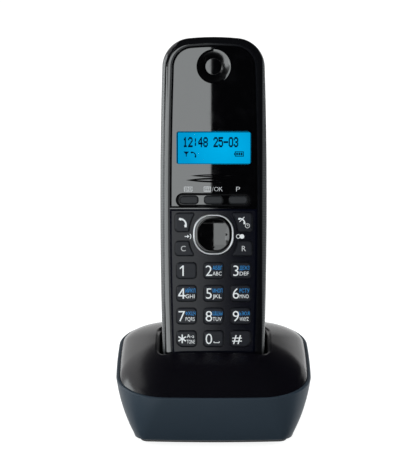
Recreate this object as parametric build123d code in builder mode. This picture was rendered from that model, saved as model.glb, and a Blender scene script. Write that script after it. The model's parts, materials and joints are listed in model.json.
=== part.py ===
# Cordless telephone: a handset that leans back in its charging base.
# Millimetres. The origin is on the desk under the middle of the base,
# +X to the right seen from the front, +Y to the rear, +Z up.
from build123d import *

import os
from math import atan2, cos, degrees, hypot, radians, sin, sqrt, tan

os.makedirs("parts", exist_ok=True)

# Handset outside
handset_length = 157.0
handset_width = 49.0
widest_at = 68.0            # height of the widest place above the bottom end
top_taper = 1.4             # how much narrower each side is where it would meet the top
top_crown = 2.4
top_corner_radius = 13.5
bottom_taper = 1.4
bottom_crown = 1.5
bottom_corner_radius = 9.0
front_edge_radius = 3.2
back_edge_radius = 6.0
land_depth = 0.4            # how far the case's front edge lies behind the panels
parting_depth = 10.0        # depth of the joint between the front and rear cases
back_depth_bottom = 23.0
back_depth_top = 16.5
back_middle_at = 60.0
case_wall = 2.0
hollow_skin = 2.6           # thickness of the back, more than the wall because its edges are round

# Handset front stack, as depths below the panels' surface
panel_thickness = 2.2
panel_inset = 4.0
panel_narrow = 0.5          # how much further in the panels stop at the sides than at the ends
panel_gap = 0.25
panel_bevel_width = 0.85
panel_bevel_depth = 0.4
panel_split_at = 78.6
panel_split_gap = 0.5
floor_thickness = 1.6
flange_thickness = 0.9
flange_lip = 0.6
flange_gap = 0.1
key_travel = 0.8
key_gap = 0.35
mat_room = 0.25
mat_thickness = 1.0
board_thickness = 1.6
fit_gap = 0.1               # between fixed pieces that drop into one another

# Keys
key_width = 9.0
key_height = 7.2
key_radius = 1.6
key_outer_radius = 3.0      # the outer lower corners of the star and hash keys
key_proud = 0.7
key_edge = 0.4
key_columns = 12.4
key_rows = 10.47
first_row_at = 50.1
side_key_outer = 17.5
side_key_near = 8.5
side_key_far = 11.4
side_key_bulge = 0.55
talk_key_low = 68.0
talk_key_high = 76.5
clear_key_low = 57.0
clear_key_high = 63.6
soft_key_width = 8.3
soft_key_height = 3.4
soft_key_radius = 1.3
soft_key_pitch = 11.3
soft_keys_at = 82.5
soft_key_sunk = 0.1
soft_recess_width = 34.7
soft_recess_height = 6.5
soft_recess_depth = 0.6
soft_recess_slope = 0.55     # how far its walls lean in on the way down

# Navigator key
navigator_at = 66.7
navigator_size = 15.0
navigator_radius = 6.3
navigator_proud = 0.6
navigator_dish_depth = 0.8
navigator_tilt_room = 1.15
navigator_flange_thickness = 0.7
ring_size = 18.7
ring_radius = 8.2
ring_width = 0.95
ring_proud = 0.8
pivot_ball_radius = 1.2
pivot_clearance = 0.06

# Display, earpiece and sound
display_at = 106.4
display_width = 34.0
display_height = 15.0
display_radius = 1.2
window_thickness = 1.4
lcd_margin = 1.0
lcd_thickness = 1.4
light_margin = 0.8
scoop_at = 91.6
scoop_width = 25.5
scoop_height = 2.2
scoop_depth = 0.35
scoop_floor_width = 16.0
scoop_floor_height = 0.55
brow_at = 93.6
brow_width = 21.0
brow_height = 1.4
brow_depth = 0.3
brow_floor_width = 13.0
brow_floor_height = 0.25
ear_from_top = 13.6
ear_dish_radius = 7.8
ear_floor_radius = 3.7
ear_dish_depth = 1.6
ear_slot_radius = 3.1
ear_slot_width = 0.5
ear_slot_count = 3
ear_slot_sweep = 96.0
receiver_radius = 9.0
receiver_thickness = 4.0
receiver_ring = 1.0
ringer_at = 121.0
ringer_radius = 10.0
ringer_rim = 1.8             # thickness of the loudspeaker's wide rim
ringer_magnet_radius = 6.2
ringer_magnet = 2.7
ringer_seat_depth = 18.0
ringer_ring = 1.2
grille_slots = 5
grille_pitch = 2.8
grille_length = 13.0
grille_width = 1.3
microphone_at = 8.0
microphone_radius = 3.0
microphone_thickness = 2.2
sound_hole_radius = 0.6
shield_width = 26.0
shield_height = 22.0
shield_thickness = 2.0

# Battery bay
cell_radius = 5.15
cell_length = 44.5
cell_nub_radius = 1.9
cell_nub = 1.2
cell_spacing = 0.9
cell_gap = 0.15
bay_floor_depth = 12.0
bay_wall = 1.4
bay_low = 38.5
bay_spring_room = 3.6
bay_plate_room = 1.2
bay_side_gap = 0.35
cover_lap_low = 3.0         # how far the cover reaches past the bay's lower end
cover_lap_high = 9.2
cover_room = 1.75           # between the cells and the cover, where the back is deepest
cover_width = 35.0
cover_radius = 4.0
cover_thickness = 1.8
cover_gap = 0.25
deck_thickness = 1.4
deck_margin = 2.5
grip_grooves = 4
grip_pitch = 2.2
grip_length = 14.0
grip_depth = 0.5
grip_from_end = 10.0
contact_sheet = 0.4
contact_width = 6.0

# Screws and posts
post_radius = 2.5
screw_radius = 0.9
screw_head_radius = 1.9
screw_head = 1.3
screw_length = 7.0
screw_clearance = 0.06
head_gap = 0.2
head_seat_depth = 12.4
low_post_x = 15.0
low_post_at = 9.0
high_post_x = 15.6
high_post_at = 90.0

# Charging contacts
charge_pad_x = 10.0
charge_pad_width = 5.0
charge_pad_depth = 13.4
charge_pad_height = 5.6
charge_pad_sunk = 1.2
charge_pad_flange = 0.6
charge_pad_shoulder = 1.0
charge_leaf_width = 3.0
charge_leaf_sheet = 0.5
charge_leaf_depth = 4.4
charge_leaf_foot = 1.6
charge_leaf_gap = 0.05
charge_slot_gap = 0.3
charge_travel = 1.0

# How the handset sits in the cradle
lean = 15.0
seat_y = -15.2
seat_z = 24.3
seat_rest = 0.15            # between the handset and what it rests on, below and behind
cradle_side_gap = 0.1       # beyond the handset's widest place
cradle_front_gap = 0.9
cradle_mouth_at = 22.0      # height along the handset where its back meets the cradle
cradle_wall = 1.8
cradle_rim_radius = 2.0

# Base outside
base_width = 89.9
base_depth = 79.4
rim_front_z = 25.0
rim_tilt = 4.0
rim_corner_radius = 23.4
rim_bow = 1.4
floor_width = 74.8
floor_depth = 72.6
floor_corner_radius = 6.6
floor_bow = 1.1
body_belly = 0.6            # how far the side wall bulges past a straight taper
body_low_z = 2.2
# Heights above the underside and insets of the body's rounded lower edge
body_low_edge = [(0.0, 2.0), (0.8, 0.6), (2.6, 0.0)]
body_wall = 2.4
body_low_wall = 5.5
rim_land = 1.4
rim_edge = 0.4
ledge_depth = 1.6
cover_seam = 0.15
# Heights above the seam, insets at the sides, front and rear, and corner radii of the dome
dome_low = (3.3, 1.5, 4.9, 4.9, 20.0)
dome_high = (8.6, 10.8, 15.9, 14.5, 17.0)
# The dome's top is inside the cradle's mouth
dome_top_height = 12.4
dome_top_in = 7.7           # from the mouth's sides
dome_top_front_y = -4.65
dome_top_back_y = 8.85
dome_top_corner = 5.0
dome_wall = 2.2

# Base underside and inside
plate_low_z = 0.8
plate_inset = 3.2
plate_tongue = 2.0
plate_gap = 0.2
foot_radius = 4.5
foot_x = 24.0
foot_y = 21.0
base_post_x = 28.0
base_post_y = 10.0
base_post_radius = 3.2
base_post_top = 15.0
base_rib = 2.0
base_screw_radius = 1.2
base_screw_head_radius = 2.6
base_screw_head = 1.6
base_screw_length = 9.0
base_board_z = 6.6
base_board_width = 48.0
base_board_front = -25.0
base_board_thickness = 1.6
standoff_x = 19.0
standoff_width = 2.4
standoff_length = 44.0
can_width = 18.0
can_depth = 14.0
can_height = 2.2
can_x = -8.0
can_y = -16.0
chip_size = 10.0
chip_height = 1.4
chip_x = 12.0
chip_y = -14.0
capacitor_radius = 2.5
capacitor_height = 4.0
capacitor_places = [(-19.0, 6.0), (-19.0, -3.0), (19.0, 4.0)]

# Sockets and the locator button in the rear recess
recess_half_width = 24.0
recess_low_z = 6.2
recess_high_z = 21.0
recess_radius = 1.5
recess_plane_y = 30.0
recess_wall = 1.8
socket_margin = 0.3
dc_x = -14.0
dc_width = 9.0
dc_length = 13.0
dc_height = 11.0
dc_axis_height = 6.2
dc_bore_radius = 2.85
dc_bore_length = 10.0
dc_pin_radius = 1.0
dc_pin_length = 9.0
line_x = 12.0
line_width = 13.2
line_length = 14.0
line_height = 11.4
line_bore_width = 9.8
line_bore_height = 6.8
line_bore_length = 11.5
line_bore_low = 2.0
line_notch_width = 4.2
line_notch_height = 1.4
line_wire = 0.5
line_wire_pitch = 1.02
line_wire_count = 4
locator_x = -1.6
locator_z = 14.0
locator_radius = 3.2
locator_proud = 1.4
locator_travel = 0.8
locator_gap = 0.3
locator_stem_radius = 1.2
locator_stem = 1.5
switch_width = 6.0
switch_length = 3.5
switch_rise = 3.0            # how far the switch stands above the button's middle

# Values worked out from the driving ones
top_half_width = handset_width / 2 - top_taper
bottom_half_width = handset_width / 2 - bottom_taper
back_depth_middle = bay_floor_depth + cell_gap + 2 * cell_radius + cover_room + cover_thickness
ear_at = handset_length - ear_from_top
cell_pitch = 2 * cell_radius + cell_spacing
floor_low_depth = panel_thickness + floor_thickness
flange_low_depth = panel_thickness + flange_gap + flange_thickness
mat_top_depth = flange_low_depth + key_travel + mat_room
board_depth = mat_top_depth + mat_thickness
board_back_depth = board_depth + board_thickness
lcd_top_depth = panel_thickness + fit_gap
ring_bore = ring_size - 2 * ring_width
navigator_flange = ring_bore + 2 * flange_lip
navigator_low_depth = panel_thickness + navigator_tilt_room + navigator_flange_thickness
pivot_depth = board_depth - pivot_ball_radius - pivot_clearance
bay_length = bay_spring_room + cell_length + bay_plate_room
bay_high = bay_low + bay_length
cover_low = bay_low - cover_lap_low
cover_high = bay_high + cover_lap_high
grip_at = cover_high - grip_from_end
bay_half_width = cell_pitch / 2 + cell_radius + bay_side_gap
cell_depth = bay_floor_depth + cell_gap + cell_radius
cell_start = bay_low + bay_spring_room
reach = handset_length + back_depth_middle      # longer than any cut needs
plate_top_z = body_low_z + plate_tongue
board_top_z = base_board_z + base_board_thickness
socket_face_y = recess_plane_y - recess_wall
dc_axis_z = board_top_z + dc_axis_height
line_bore_z = board_top_z + line_bore_low + line_bore_height / 2
rim_centre_z = rim_front_z + base_depth / 2 * tan(radians(rim_tilt))
cradle_half = handset_width / 2 + cradle_side_gap
seam_width = base_width - 2 * (rim_land + cover_seam)
seam_depth = base_depth - 2 * (rim_land + cover_seam)
dome_sections = [
    (0.0, 0.0, 0.0, 0.0, rim_corner_radius - rim_land - cover_seam),
    dome_low,
    dome_high,
    (
        dome_top_height,
        seam_width / 2 - cradle_half + dome_top_in,
        seam_depth / 2 + dome_top_front_y,
        seam_depth / 2 - dome_top_back_y,
        dome_top_corner,
    ),
]

# The handset's own plane: x across, y up along the handset, z out of its face.
handset = Plane(
    origin=(0, seat_y, seat_z),
    x_dir=(1, 0, 0),
    z_dir=(0, -cos(radians(lean)), sin(radians(lean))),
)
# Its side view, for profiles: x up along the handset, y out of its face.
handset_side = Plane(origin=handset.origin, x_dir=handset.y_dir, z_dir=handset.x_dir)
backwards = Axis(handset.origin, -handset.z_dir)
# The slanted plane of the seam between the base's body and its top cover.
rim = Plane(
    origin=(0, 0, rim_centre_z),
    x_dir=(1, 0, 0),
    z_dir=(0, -sin(radians(rim_tilt)), cos(radians(rim_tilt))),
)


def face(depth):
    return handset.offset(-depth)


def end_plane(along):
    # Across the handset at one height: x across, y into the handset, z up along it.
    return Plane(
        origin=handset.from_local_coords((0, along, 0)),
        x_dir=handset.x_dir,
        z_dir=handset.y_dir,
    )


def upright(y):
    # Across the base at one depth: x to the right, y up, extruding towards the front.
    return Plane.XZ.offset(-y)


def save(piece, name):
    piece.label = name
    export_step(piece, f"parts/{name}.step")


# Shared outlines and blocks of the handset

def handset_outline(inset, narrow=0):
    # The handset seen square to its face, smaller all round by the inset and then narrower.
    low_x = bottom_half_width - inset - narrow
    low_y = inset + bottom_crown * (low_x / bottom_half_width) ** 2
    high_x = top_half_width - inset - narrow
    high_y = handset_length - inset - top_crown * (high_x / top_half_width) ** 2
    wide_x = handset_width / 2 - inset - narrow
    with BuildSketch() as outline:
        with BuildLine():
            ThreePointArc((-low_x, low_y), (0, inset), (low_x, low_y))
            ThreePointArc((low_x, low_y), (wide_x, widest_at), (high_x, high_y))
            ThreePointArc((high_x, high_y), (0, handset_length - inset), (-high_x, high_y))
            ThreePointArc((-high_x, high_y), (-wide_x, widest_at), (-low_x, low_y))
        make_face()
        fillet(outline.vertices().group_by(Axis.Y)[0], bottom_corner_radius - inset)
        fillet(outline.vertices().group_by(Axis.Y)[-1], top_corner_radius - inset)
    return outline.sketch


def back_profile(skin):
    # Side view of everything in front of the curved back, less a skin of the back.
    with BuildSketch() as profile:
        with BuildLine():
            ThreePointArc(
                (-1, skin - back_depth_bottom),
                (back_middle_at, skin - back_depth_middle),
                (handset_length + 1, skin - back_depth_top),
            )
            Polyline(
                (handset_length + 1, skin - back_depth_top),
                (handset_length + 1, 1),
                (-1, 1),
                (-1, skin - back_depth_bottom),
            )
        make_face()
    return profile.sketch


def handset_block(inset, skin, front_depth):
    # The handset as one block with sharp edges, from a depth back to its curved back.
    with BuildPart() as block:
        with BuildSketch(face(front_depth)):
            add(handset_outline(inset))
        extrude(amount=-reach)
        with BuildSketch(handset_side):
            add(back_profile(skin))
        extrude(amount=handset_width, both=True, mode=Mode.INTERSECT)
    return block.part


def back_layer(outline, outer_skin, inner_skin):
    # What lies between two skins of the curved back, inside an outline on the face.
    with BuildPart() as layer:
        with BuildSketch(face(parting_depth)):
            add(outline)
        extrude(amount=-reach)
        with BuildSketch(handset_side):
            add(back_profile(outer_skin))
            add(back_profile(inner_skin), mode=Mode.SUBTRACT)
        extrude(amount=handset_width, both=True, mode=Mode.INTERSECT)
    return layer.part


def back_depth_at(along):
    # Depth of the curved back at one height, on the circle through its three given points.
    (x1, y1), (x2, y2), (x3, y3) = (
        (-1, back_depth_bottom),
        (back_middle_at, back_depth_middle),
        (handset_length + 1, back_depth_top),
    )
    d = 2 * (x1 * (y2 - y3) + x2 * (y3 - y1) + x3 * (y1 - y2))
    s1, s2, s3 = x1**2 + y1**2, x2**2 + y2**2, x3**2 + y3**2
    centre_x = (s1 * (y2 - y3) + s2 * (y3 - y1) + s3 * (y1 - y2)) / d
    centre_y = (s1 * (x3 - x2) + s2 * (x1 - x3) + s3 * (x2 - x1)) / d
    radius = hypot(x1 - centre_x, y1 - centre_y)
    return centre_y + sqrt(radius**2 - (along - centre_x) ** 2)


def key_outline(column, row, grow):
    # One key of the dialling block, drawn where it stands on the face.
    with BuildSketch() as outline:
        with Locations((column * key_columns, first_row_at - row * key_rows)):
            Rectangle(key_width + 2 * grow, key_height + 2 * grow)
        corners = outline.vertices().sort_by(Axis.X)
        inner, outer = (corners[2:], corners[:2]) if column < 0 else (corners[:2], corners[2:])
        lower, upper = outer.sort_by(Axis.Y)
        fillet([*inner, upper], key_radius + grow)
        low_radius = key_outer_radius if row == 3 and column else key_radius
        fillet(outline.vertices().sort_by_distance((lower.X, lower.Y, 0))[0], low_radius + grow)
    return outline.sketch


def side_key_outline(low, high, inner_low, inner_high, side, grow):
    # One of the four keys round the navigator, hollowed on the navigator's side.
    with BuildSketch() as outline:
        outer_x = side * (side_key_outer + grow)
        low_x = side * (inner_low - grow)
        high_x = side * (inner_high - grow)
        middle_x = (low_x + high_x) / 2 + side * side_key_bulge
        bottom = low - grow
        top = high + grow
        with BuildLine():
            Polyline((low_x, bottom), (outer_x, bottom), (outer_x, top), (high_x, top))
            ThreePointArc((high_x, top), (middle_x, (low + high) / 2), (low_x, bottom))
        make_face()
        corners = outline.vertices().sort_by(Axis.X)
        outer, inner = (corners[:2], corners[2:]) if side < 0 else (corners[2:], corners[:2])
        fillet(outer, key_radius + grow)
        places = [(v.X, v.Y, 0) for v in inner]
        for place in places:
            fillet(outline.vertices().sort_by_distance(place)[0], key_radius / 3 + grow)
    return outline.sketch


def soft_key_outline(column, grow):
    with BuildSketch() as outline:
        with Locations((column * soft_key_pitch, soft_keys_at)):
            RectangleRounded(soft_key_width + 2 * grow, soft_key_height + 2 * grow, soft_key_radius + grow)
    return outline.sketch


def navigator_outline(size, radius):
    with BuildSketch() as outline:
        with Locations((0, navigator_at)):
            RectangleRounded(size, size, radius)
    return outline.sketch


def cover_outline(grow):
    with BuildSketch() as outline:
        with Locations((0, (cover_low + cover_high) / 2)):
            RectangleRounded(cover_width + 2 * grow, cover_high - cover_low + 2 * grow, cover_radius + grow)
    return outline.sketch


dial_names = ["1", "2", "3", "4", "5", "6", "7", "8", "9", "star", "0", "hash"]
dial_places = {f"key_{name}": (i % 3 - 1, i // 3) for i, name in enumerate(dial_names)}
side_keys = {
    "key_talk": (talk_key_low, talk_key_high, side_key_far, side_key_near, -1),
    "key_off": (talk_key_low, talk_key_high, side_key_far, side_key_near, 1),
    "key_clear": (clear_key_low, clear_key_high, side_key_near, side_key_far, -1),
    "key_recall": (clear_key_low, clear_key_high, side_key_near, side_key_far, 1),
}
soft_places = {"soft_key_left": -1, "soft_key_middle": 0, "soft_key_right": 1}
post_places = [(side * low_post_x, low_post_at) for side in (-1, 1)]
post_places += [(side * high_post_x, high_post_at) for side in (-1, 1)]
keypad_low = first_row_at - 3 * key_rows - key_height / 2
keypad_opening_half = side_key_outer + flange_lip + fit_gap
soft_opening_half = soft_key_pitch + soft_key_width / 2 + flange_lip + fit_gap
light_width = display_width + 2 * lcd_margin + 2 * light_margin
light_height = display_height + 2 * lcd_margin + 2 * light_margin

# Handset front case: a shallow shell with a recess for the two front panels

with BuildPart() as front_case:
    add(handset_block(0, 0, land_depth))
    split(bisect_by=face(parting_depth), keep=Keep.TOP)
    fillet(front_case.faces().sort_by(backwards)[0].edges(), front_edge_radius)
    with BuildSketch(face(parting_depth)):
        add(handset_outline(case_wall))
    extrude(amount=parting_depth - floor_low_depth, mode=Mode.SUBTRACT)
    with BuildSketch(face(panel_thickness)):
        add(handset_outline(panel_inset - panel_gap, panel_narrow))
    extrude(amount=panel_thickness, mode=Mode.SUBTRACT)
    # Posts for the case screws, and a ring that locates the earpiece capsule
    with BuildSketch(face(parting_depth)):
        with Locations(*post_places):
            Circle(post_radius)
    extrude(amount=parting_depth - floor_low_depth)
    with BuildSketch(face(floor_low_depth + receiver_thickness - 1)):
        with Locations((0, ear_at)):
            Circle(receiver_radius + fit_gap + receiver_ring)
            Circle(receiver_radius + fit_gap, mode=Mode.SUBTRACT)
    extrude(amount=receiver_thickness - 1)
    # Openings in the floor behind the keys, the soft keys, the display and the sound holes
    with BuildSketch(face(floor_low_depth)):
        with Locations((0, keypad_low - flange_lip - fit_gap)):
            Rectangle(
                2 * keypad_opening_half,
                talk_key_high - keypad_low + 2 * flange_lip + 2 * fit_gap,
                align=(Align.CENTER, Align.MIN),
            )
        with Locations((0, soft_keys_at)):
            Rectangle(2 * soft_opening_half, soft_key_height + 2 * flange_lip + 2 * fit_gap)
        with Locations((0, display_at)):
            Rectangle(light_width + 2 * fit_gap, light_height + 2 * fit_gap)
        with Locations((0, ear_at)):
            Circle(ear_slot_radius + ear_slot_width)
        with Locations((0, microphone_at)):
            Circle(sound_hole_radius)
    extrude(amount=floor_thickness, mode=Mode.SUBTRACT)
    with BuildSketch(face(parting_depth)):
        with Locations(*post_places):
            Circle(screw_radius + screw_clearance)
    extrude(amount=parting_depth - floor_low_depth - screw_clearance, mode=Mode.SUBTRACT)
save(front_case.part, "handset_front_case")

# Upper panel: glossy, with the ear dish, the display opening and the soft key recess

ear_middle = handset.from_local_coords((0, ear_at, 0))


def lens(width, height):
    with BuildSketch() as shape:
        with BuildLine():
            ThreePointArc((-width / 2, 0), (0, height / 2), (width / 2, 0))
            ThreePointArc((width / 2, 0), (0, -height / 2), (-width / 2, 0))
        make_face()
    return shape.sketch


# Two lens-shaped pockets under the display: their outline on the face, their floor and its depth
panel_pockets = [
    (scoop_at, lens(scoop_width, scoop_height), lens(scoop_floor_width, scoop_floor_height), scoop_depth),
    (brow_at, lens(brow_width, brow_height), lens(brow_floor_width, brow_floor_height), brow_depth),
]


def bevel_front(panel):
    front = panel.faces().sort_by(backwards)[0]
    chamfer(front.edges(), panel_bevel_width, panel_bevel_depth, reference=front)


with BuildPart() as upper_panel:
    with BuildSketch(face(panel_thickness)):
        add(handset_outline(panel_inset, panel_narrow))
        with Locations((0, panel_split_at + panel_split_gap / 2)):
            Rectangle(handset_width, reach, align=(Align.CENTER, Align.MIN), mode=Mode.INTERSECT)
    extrude(amount=panel_thickness)
    bevel_front(upper_panel)
    with BuildSketch(face(panel_thickness)):
        with Locations((0, display_at)):
            RectangleRounded(display_width, display_height, display_radius)
        for column in soft_places.values():
            add(soft_key_outline(column, key_gap))
        with Locations((0, ear_at)):
            with PolarLocations(0, ear_slot_count):
                SlotArc(CenterArc((0, 0), ear_slot_radius, 0, ear_slot_sweep), ear_slot_width)
    extrude(amount=panel_thickness, mode=Mode.SUBTRACT)
    with BuildSketch(face(soft_recess_depth)):
        with Locations((0, soft_keys_at)):
            SlotOverall(
                soft_recess_width - 2 * soft_recess_slope, soft_recess_height - 2 * soft_recess_slope
            )
    lean_out = degrees(atan2(soft_recess_slope, soft_recess_depth))
    extrude(amount=soft_recess_depth, taper=-lean_out, mode=Mode.SUBTRACT)
    # The ear dish is turned about an axis square to the face
    with BuildSketch(Plane(ear_middle, handset.x_dir, -handset.y_dir)):
        with BuildLine():
            Polyline(
                (ear_dish_radius, 0),
                (ear_dish_radius, panel_thickness),
                (0, panel_thickness),
                (0, -ear_dish_depth),
                (ear_floor_radius, -ear_dish_depth),
            )
            RadiusArc(
                (ear_floor_radius, -ear_dish_depth), (ear_dish_radius, 0), ear_dish_radius
            )
        make_face()
    revolve(axis=Axis(ear_middle, handset.z_dir), mode=Mode.SUBTRACT)
    for along, outline, floor, depth in panel_pockets:
        with BuildSketch(face(0)):
            with Locations((0, along)):
                add(outline)
        with BuildSketch(face(depth)):
            with Locations((0, along)):
                add(floor)
        loft(ruled=True, mode=Mode.SUBTRACT)
save(upper_panel.part, "upper_panel")

# Keypad plate: satin, carries the dialling keys and the navigator ring

with BuildPart() as keypad_plate:
    with BuildSketch(face(panel_thickness)):
        add(handset_outline(panel_inset, panel_narrow))
        with Locations((0, panel_split_at - panel_split_gap / 2)):
            Rectangle(handset_width, reach, align=(Align.CENTER, Align.MAX), mode=Mode.INTERSECT)
    extrude(amount=panel_thickness)
    bevel_front(keypad_plate)
    with BuildSketch(face(panel_thickness)):
        for column, row in dial_places.values():
            add(key_outline(column, row, key_gap))
        for shape in side_keys.values():
            add(side_key_outline(*shape, key_gap))
        add(navigator_outline(ring_size + 2 * fit_gap, ring_radius + fit_gap))
        with Locations((0, microphone_at)):
            Circle(sound_hole_radius)
    extrude(amount=panel_thickness, mode=Mode.SUBTRACT)
save(keypad_plate.part, "keypad_plate")

with BuildPart() as navigator_ring:
    with BuildSketch(face(panel_thickness)):
        add(navigator_outline(ring_size, ring_radius))
        add(navigator_outline(ring_bore, ring_radius - ring_width), mode=Mode.SUBTRACT)
    extrude(amount=panel_thickness + ring_proud)
    chamfer(navigator_ring.faces().sort_by(backwards)[0].edges(), ring_width / 3)
save(navigator_ring.part, "navigator_ring")

# Keys: a cap that shows, and a flange that the panel retains from behind

def make_key(name, outline, flange, proud):
    with BuildPart() as key:
        with BuildSketch(face(flange_low_depth)):
            add(outline)
        extrude(amount=flange_low_depth + proud)
        chamfer(key.faces().sort_by(backwards)[0].edges(), key_edge)
        with BuildSketch(face(flange_low_depth)):
            add(flange)
        extrude(amount=flange_thickness)
    save(key.part, name)


for name, (column, row) in dial_places.items():
    with BuildSketch() as flange:
        with Locations((column * key_columns, first_row_at - row * key_rows)):
            Rectangle(key_width + 2 * flange_lip, key_height + 2 * flange_lip)
    make_key(name, key_outline(column, row, 0), flange.sketch, key_proud)

for name, shape in side_keys.items():
    low, high, inner_low, inner_high, side = shape
    with BuildSketch() as flange:
        inner = max(inner_low, inner_high)
        with Locations((side * (inner + side_key_outer + flange_lip) / 2, (low + high) / 2)):
            Rectangle(side_key_outer + flange_lip - inner, high - low + 2 * flange_lip)
    make_key(name, side_key_outline(*shape, 0), flange.sketch, key_proud)

for name, column in soft_places.items():
    with BuildSketch() as flange:
        with Locations((column * soft_key_pitch, soft_keys_at)):
            Rectangle(soft_key_width + 2 * flange_lip, soft_key_height + 2 * flange_lip)
    make_key(name, soft_key_outline(column, 0), flange.sketch, -soft_key_sunk)

# Navigator: a dished four-way key that rocks on a ball

dish_radius = (navigator_size**2 / 4 + navigator_dish_depth**2) / 2 / navigator_dish_depth
dish_out = navigator_proud - navigator_dish_depth + dish_radius
with BuildPart() as navigator_key:
    with BuildSketch(face(navigator_low_depth)):
        add(navigator_outline(navigator_size, navigator_radius))
    extrude(amount=navigator_low_depth + navigator_proud)
    chamfer(navigator_key.faces().sort_by(backwards)[0].edges(), key_edge)
    with BuildSketch(face(navigator_low_depth)):
        add(navigator_outline(navigator_flange, ring_radius - ring_width + flange_lip))
    extrude(amount=navigator_flange_thickness)
    with Locations(handset.from_local_coords((0, navigator_at, dish_out))):
        Sphere(dish_radius, mode=Mode.SUBTRACT)
    with Locations(handset.from_local_coords((0, navigator_at, -pivot_depth))):
        Sphere(pivot_ball_radius + pivot_clearance, mode=Mode.SUBTRACT)
save(navigator_key.part, "navigator_key")

with BuildPart() as navigator_pivot:
    with Locations(handset.from_local_coords((0, navigator_at, -pivot_depth))):
        Sphere(pivot_ball_radius)
save(navigator_pivot.part, "navigator_pivot")

# Rubber mat under the keys, open under the navigator

with BuildPart() as keymat:
    with BuildSketch(face(board_depth)):
        mat_low = low_post_at + post_radius + 1
        with Locations((0, mat_low)):
            Rectangle(
                2 * keypad_opening_half,
                soft_keys_at + soft_key_height - mat_low,
                align=(Align.CENTER, Align.MIN),
            )
        add(navigator_outline(navigator_flange + 1, ring_radius), mode=Mode.SUBTRACT)
    extrude(amount=mat_thickness)
save(keymat.part, "keymat")

# Handset board, holed for the upper screw posts, with a screening can on its back

board_low = low_post_at + post_radius + 0.7
board_high = ear_at - receiver_radius - receiver_ring - 0.6
with BuildPart() as handset_board:
    with BuildSketch(face(board_back_depth)):
        with Locations((0, (board_low + board_high) / 2)):
            Rectangle(2 * (bottom_half_width - case_wall - 0.6), board_high - board_low)
        with Locations(*post_places[2:]):
            Circle(post_radius + key_gap, mode=Mode.SUBTRACT)
    extrude(amount=board_thickness)
save(handset_board.part, "handset_board")

with BuildPart() as shield_can:
    with BuildSketch(face(board_back_depth)):
        with Locations((0, bay_high + bay_wall + shield_height)):
            Rectangle(shield_width, shield_height)
    extrude(amount=-shield_thickness)
save(shield_can.part, "shield_can")

# Display: window in the panel, liquid crystal cell behind it, light box on the board

with BuildPart() as display_window:
    with BuildSketch(face(window_thickness + fit_gap / 2)):
        with Locations((0, display_at)):
            RectangleRounded(display_width - 2 * fit_gap, display_height - 2 * fit_gap, display_radius - fit_gap)
    extrude(amount=window_thickness)
save(display_window.part, "display_window")

with BuildPart() as lcd_cell:
    with BuildSketch(face(lcd_top_depth + lcd_thickness)):
        with Locations((0, display_at)):
            Rectangle(display_width + 2 * lcd_margin, display_height + 2 * lcd_margin)
    extrude(amount=lcd_thickness)
save(lcd_cell.part, "lcd_cell")

with BuildPart() as lcd_light_box:
    with BuildSketch(face(board_depth)):
        with Locations((0, display_at)):
            Rectangle(light_width, light_height)
    extrude(amount=board_depth - lcd_top_depth - lcd_thickness)
save(lcd_light_box.part, "lcd_light_box")

# Earpiece capsule, ringer loudspeaker and microphone

with BuildPart() as earpiece_capsule:
    with BuildSketch(face(floor_low_depth + receiver_thickness)):
        with Locations((0, ear_at)):
            Circle(receiver_radius)
    extrude(amount=receiver_thickness)
save(earpiece_capsule.part, "earpiece_capsule")

with BuildPart() as ringer_speaker:
    with BuildSketch(face(ringer_seat_depth)):
        with Locations((0, ringer_at)):
            Circle(ringer_radius)
    extrude(amount=ringer_rim)
    with BuildSketch(face(ringer_seat_depth - ringer_rim)):
        with Locations((0, ringer_at)):
            Circle(ringer_magnet_radius)
    extrude(amount=ringer_magnet)
save(ringer_speaker.part, "ringer_speaker")

with BuildPart() as microphone:
    with BuildSketch(face(floor_low_depth + microphone_thickness)):
        with Locations((0, microphone_at)):
            Circle(microphone_radius)
    extrude(amount=microphone_thickness)
save(microphone.part, "microphone")

# Rear case: the deeper shell, with the battery bay, screw posts and ringer seat

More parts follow.
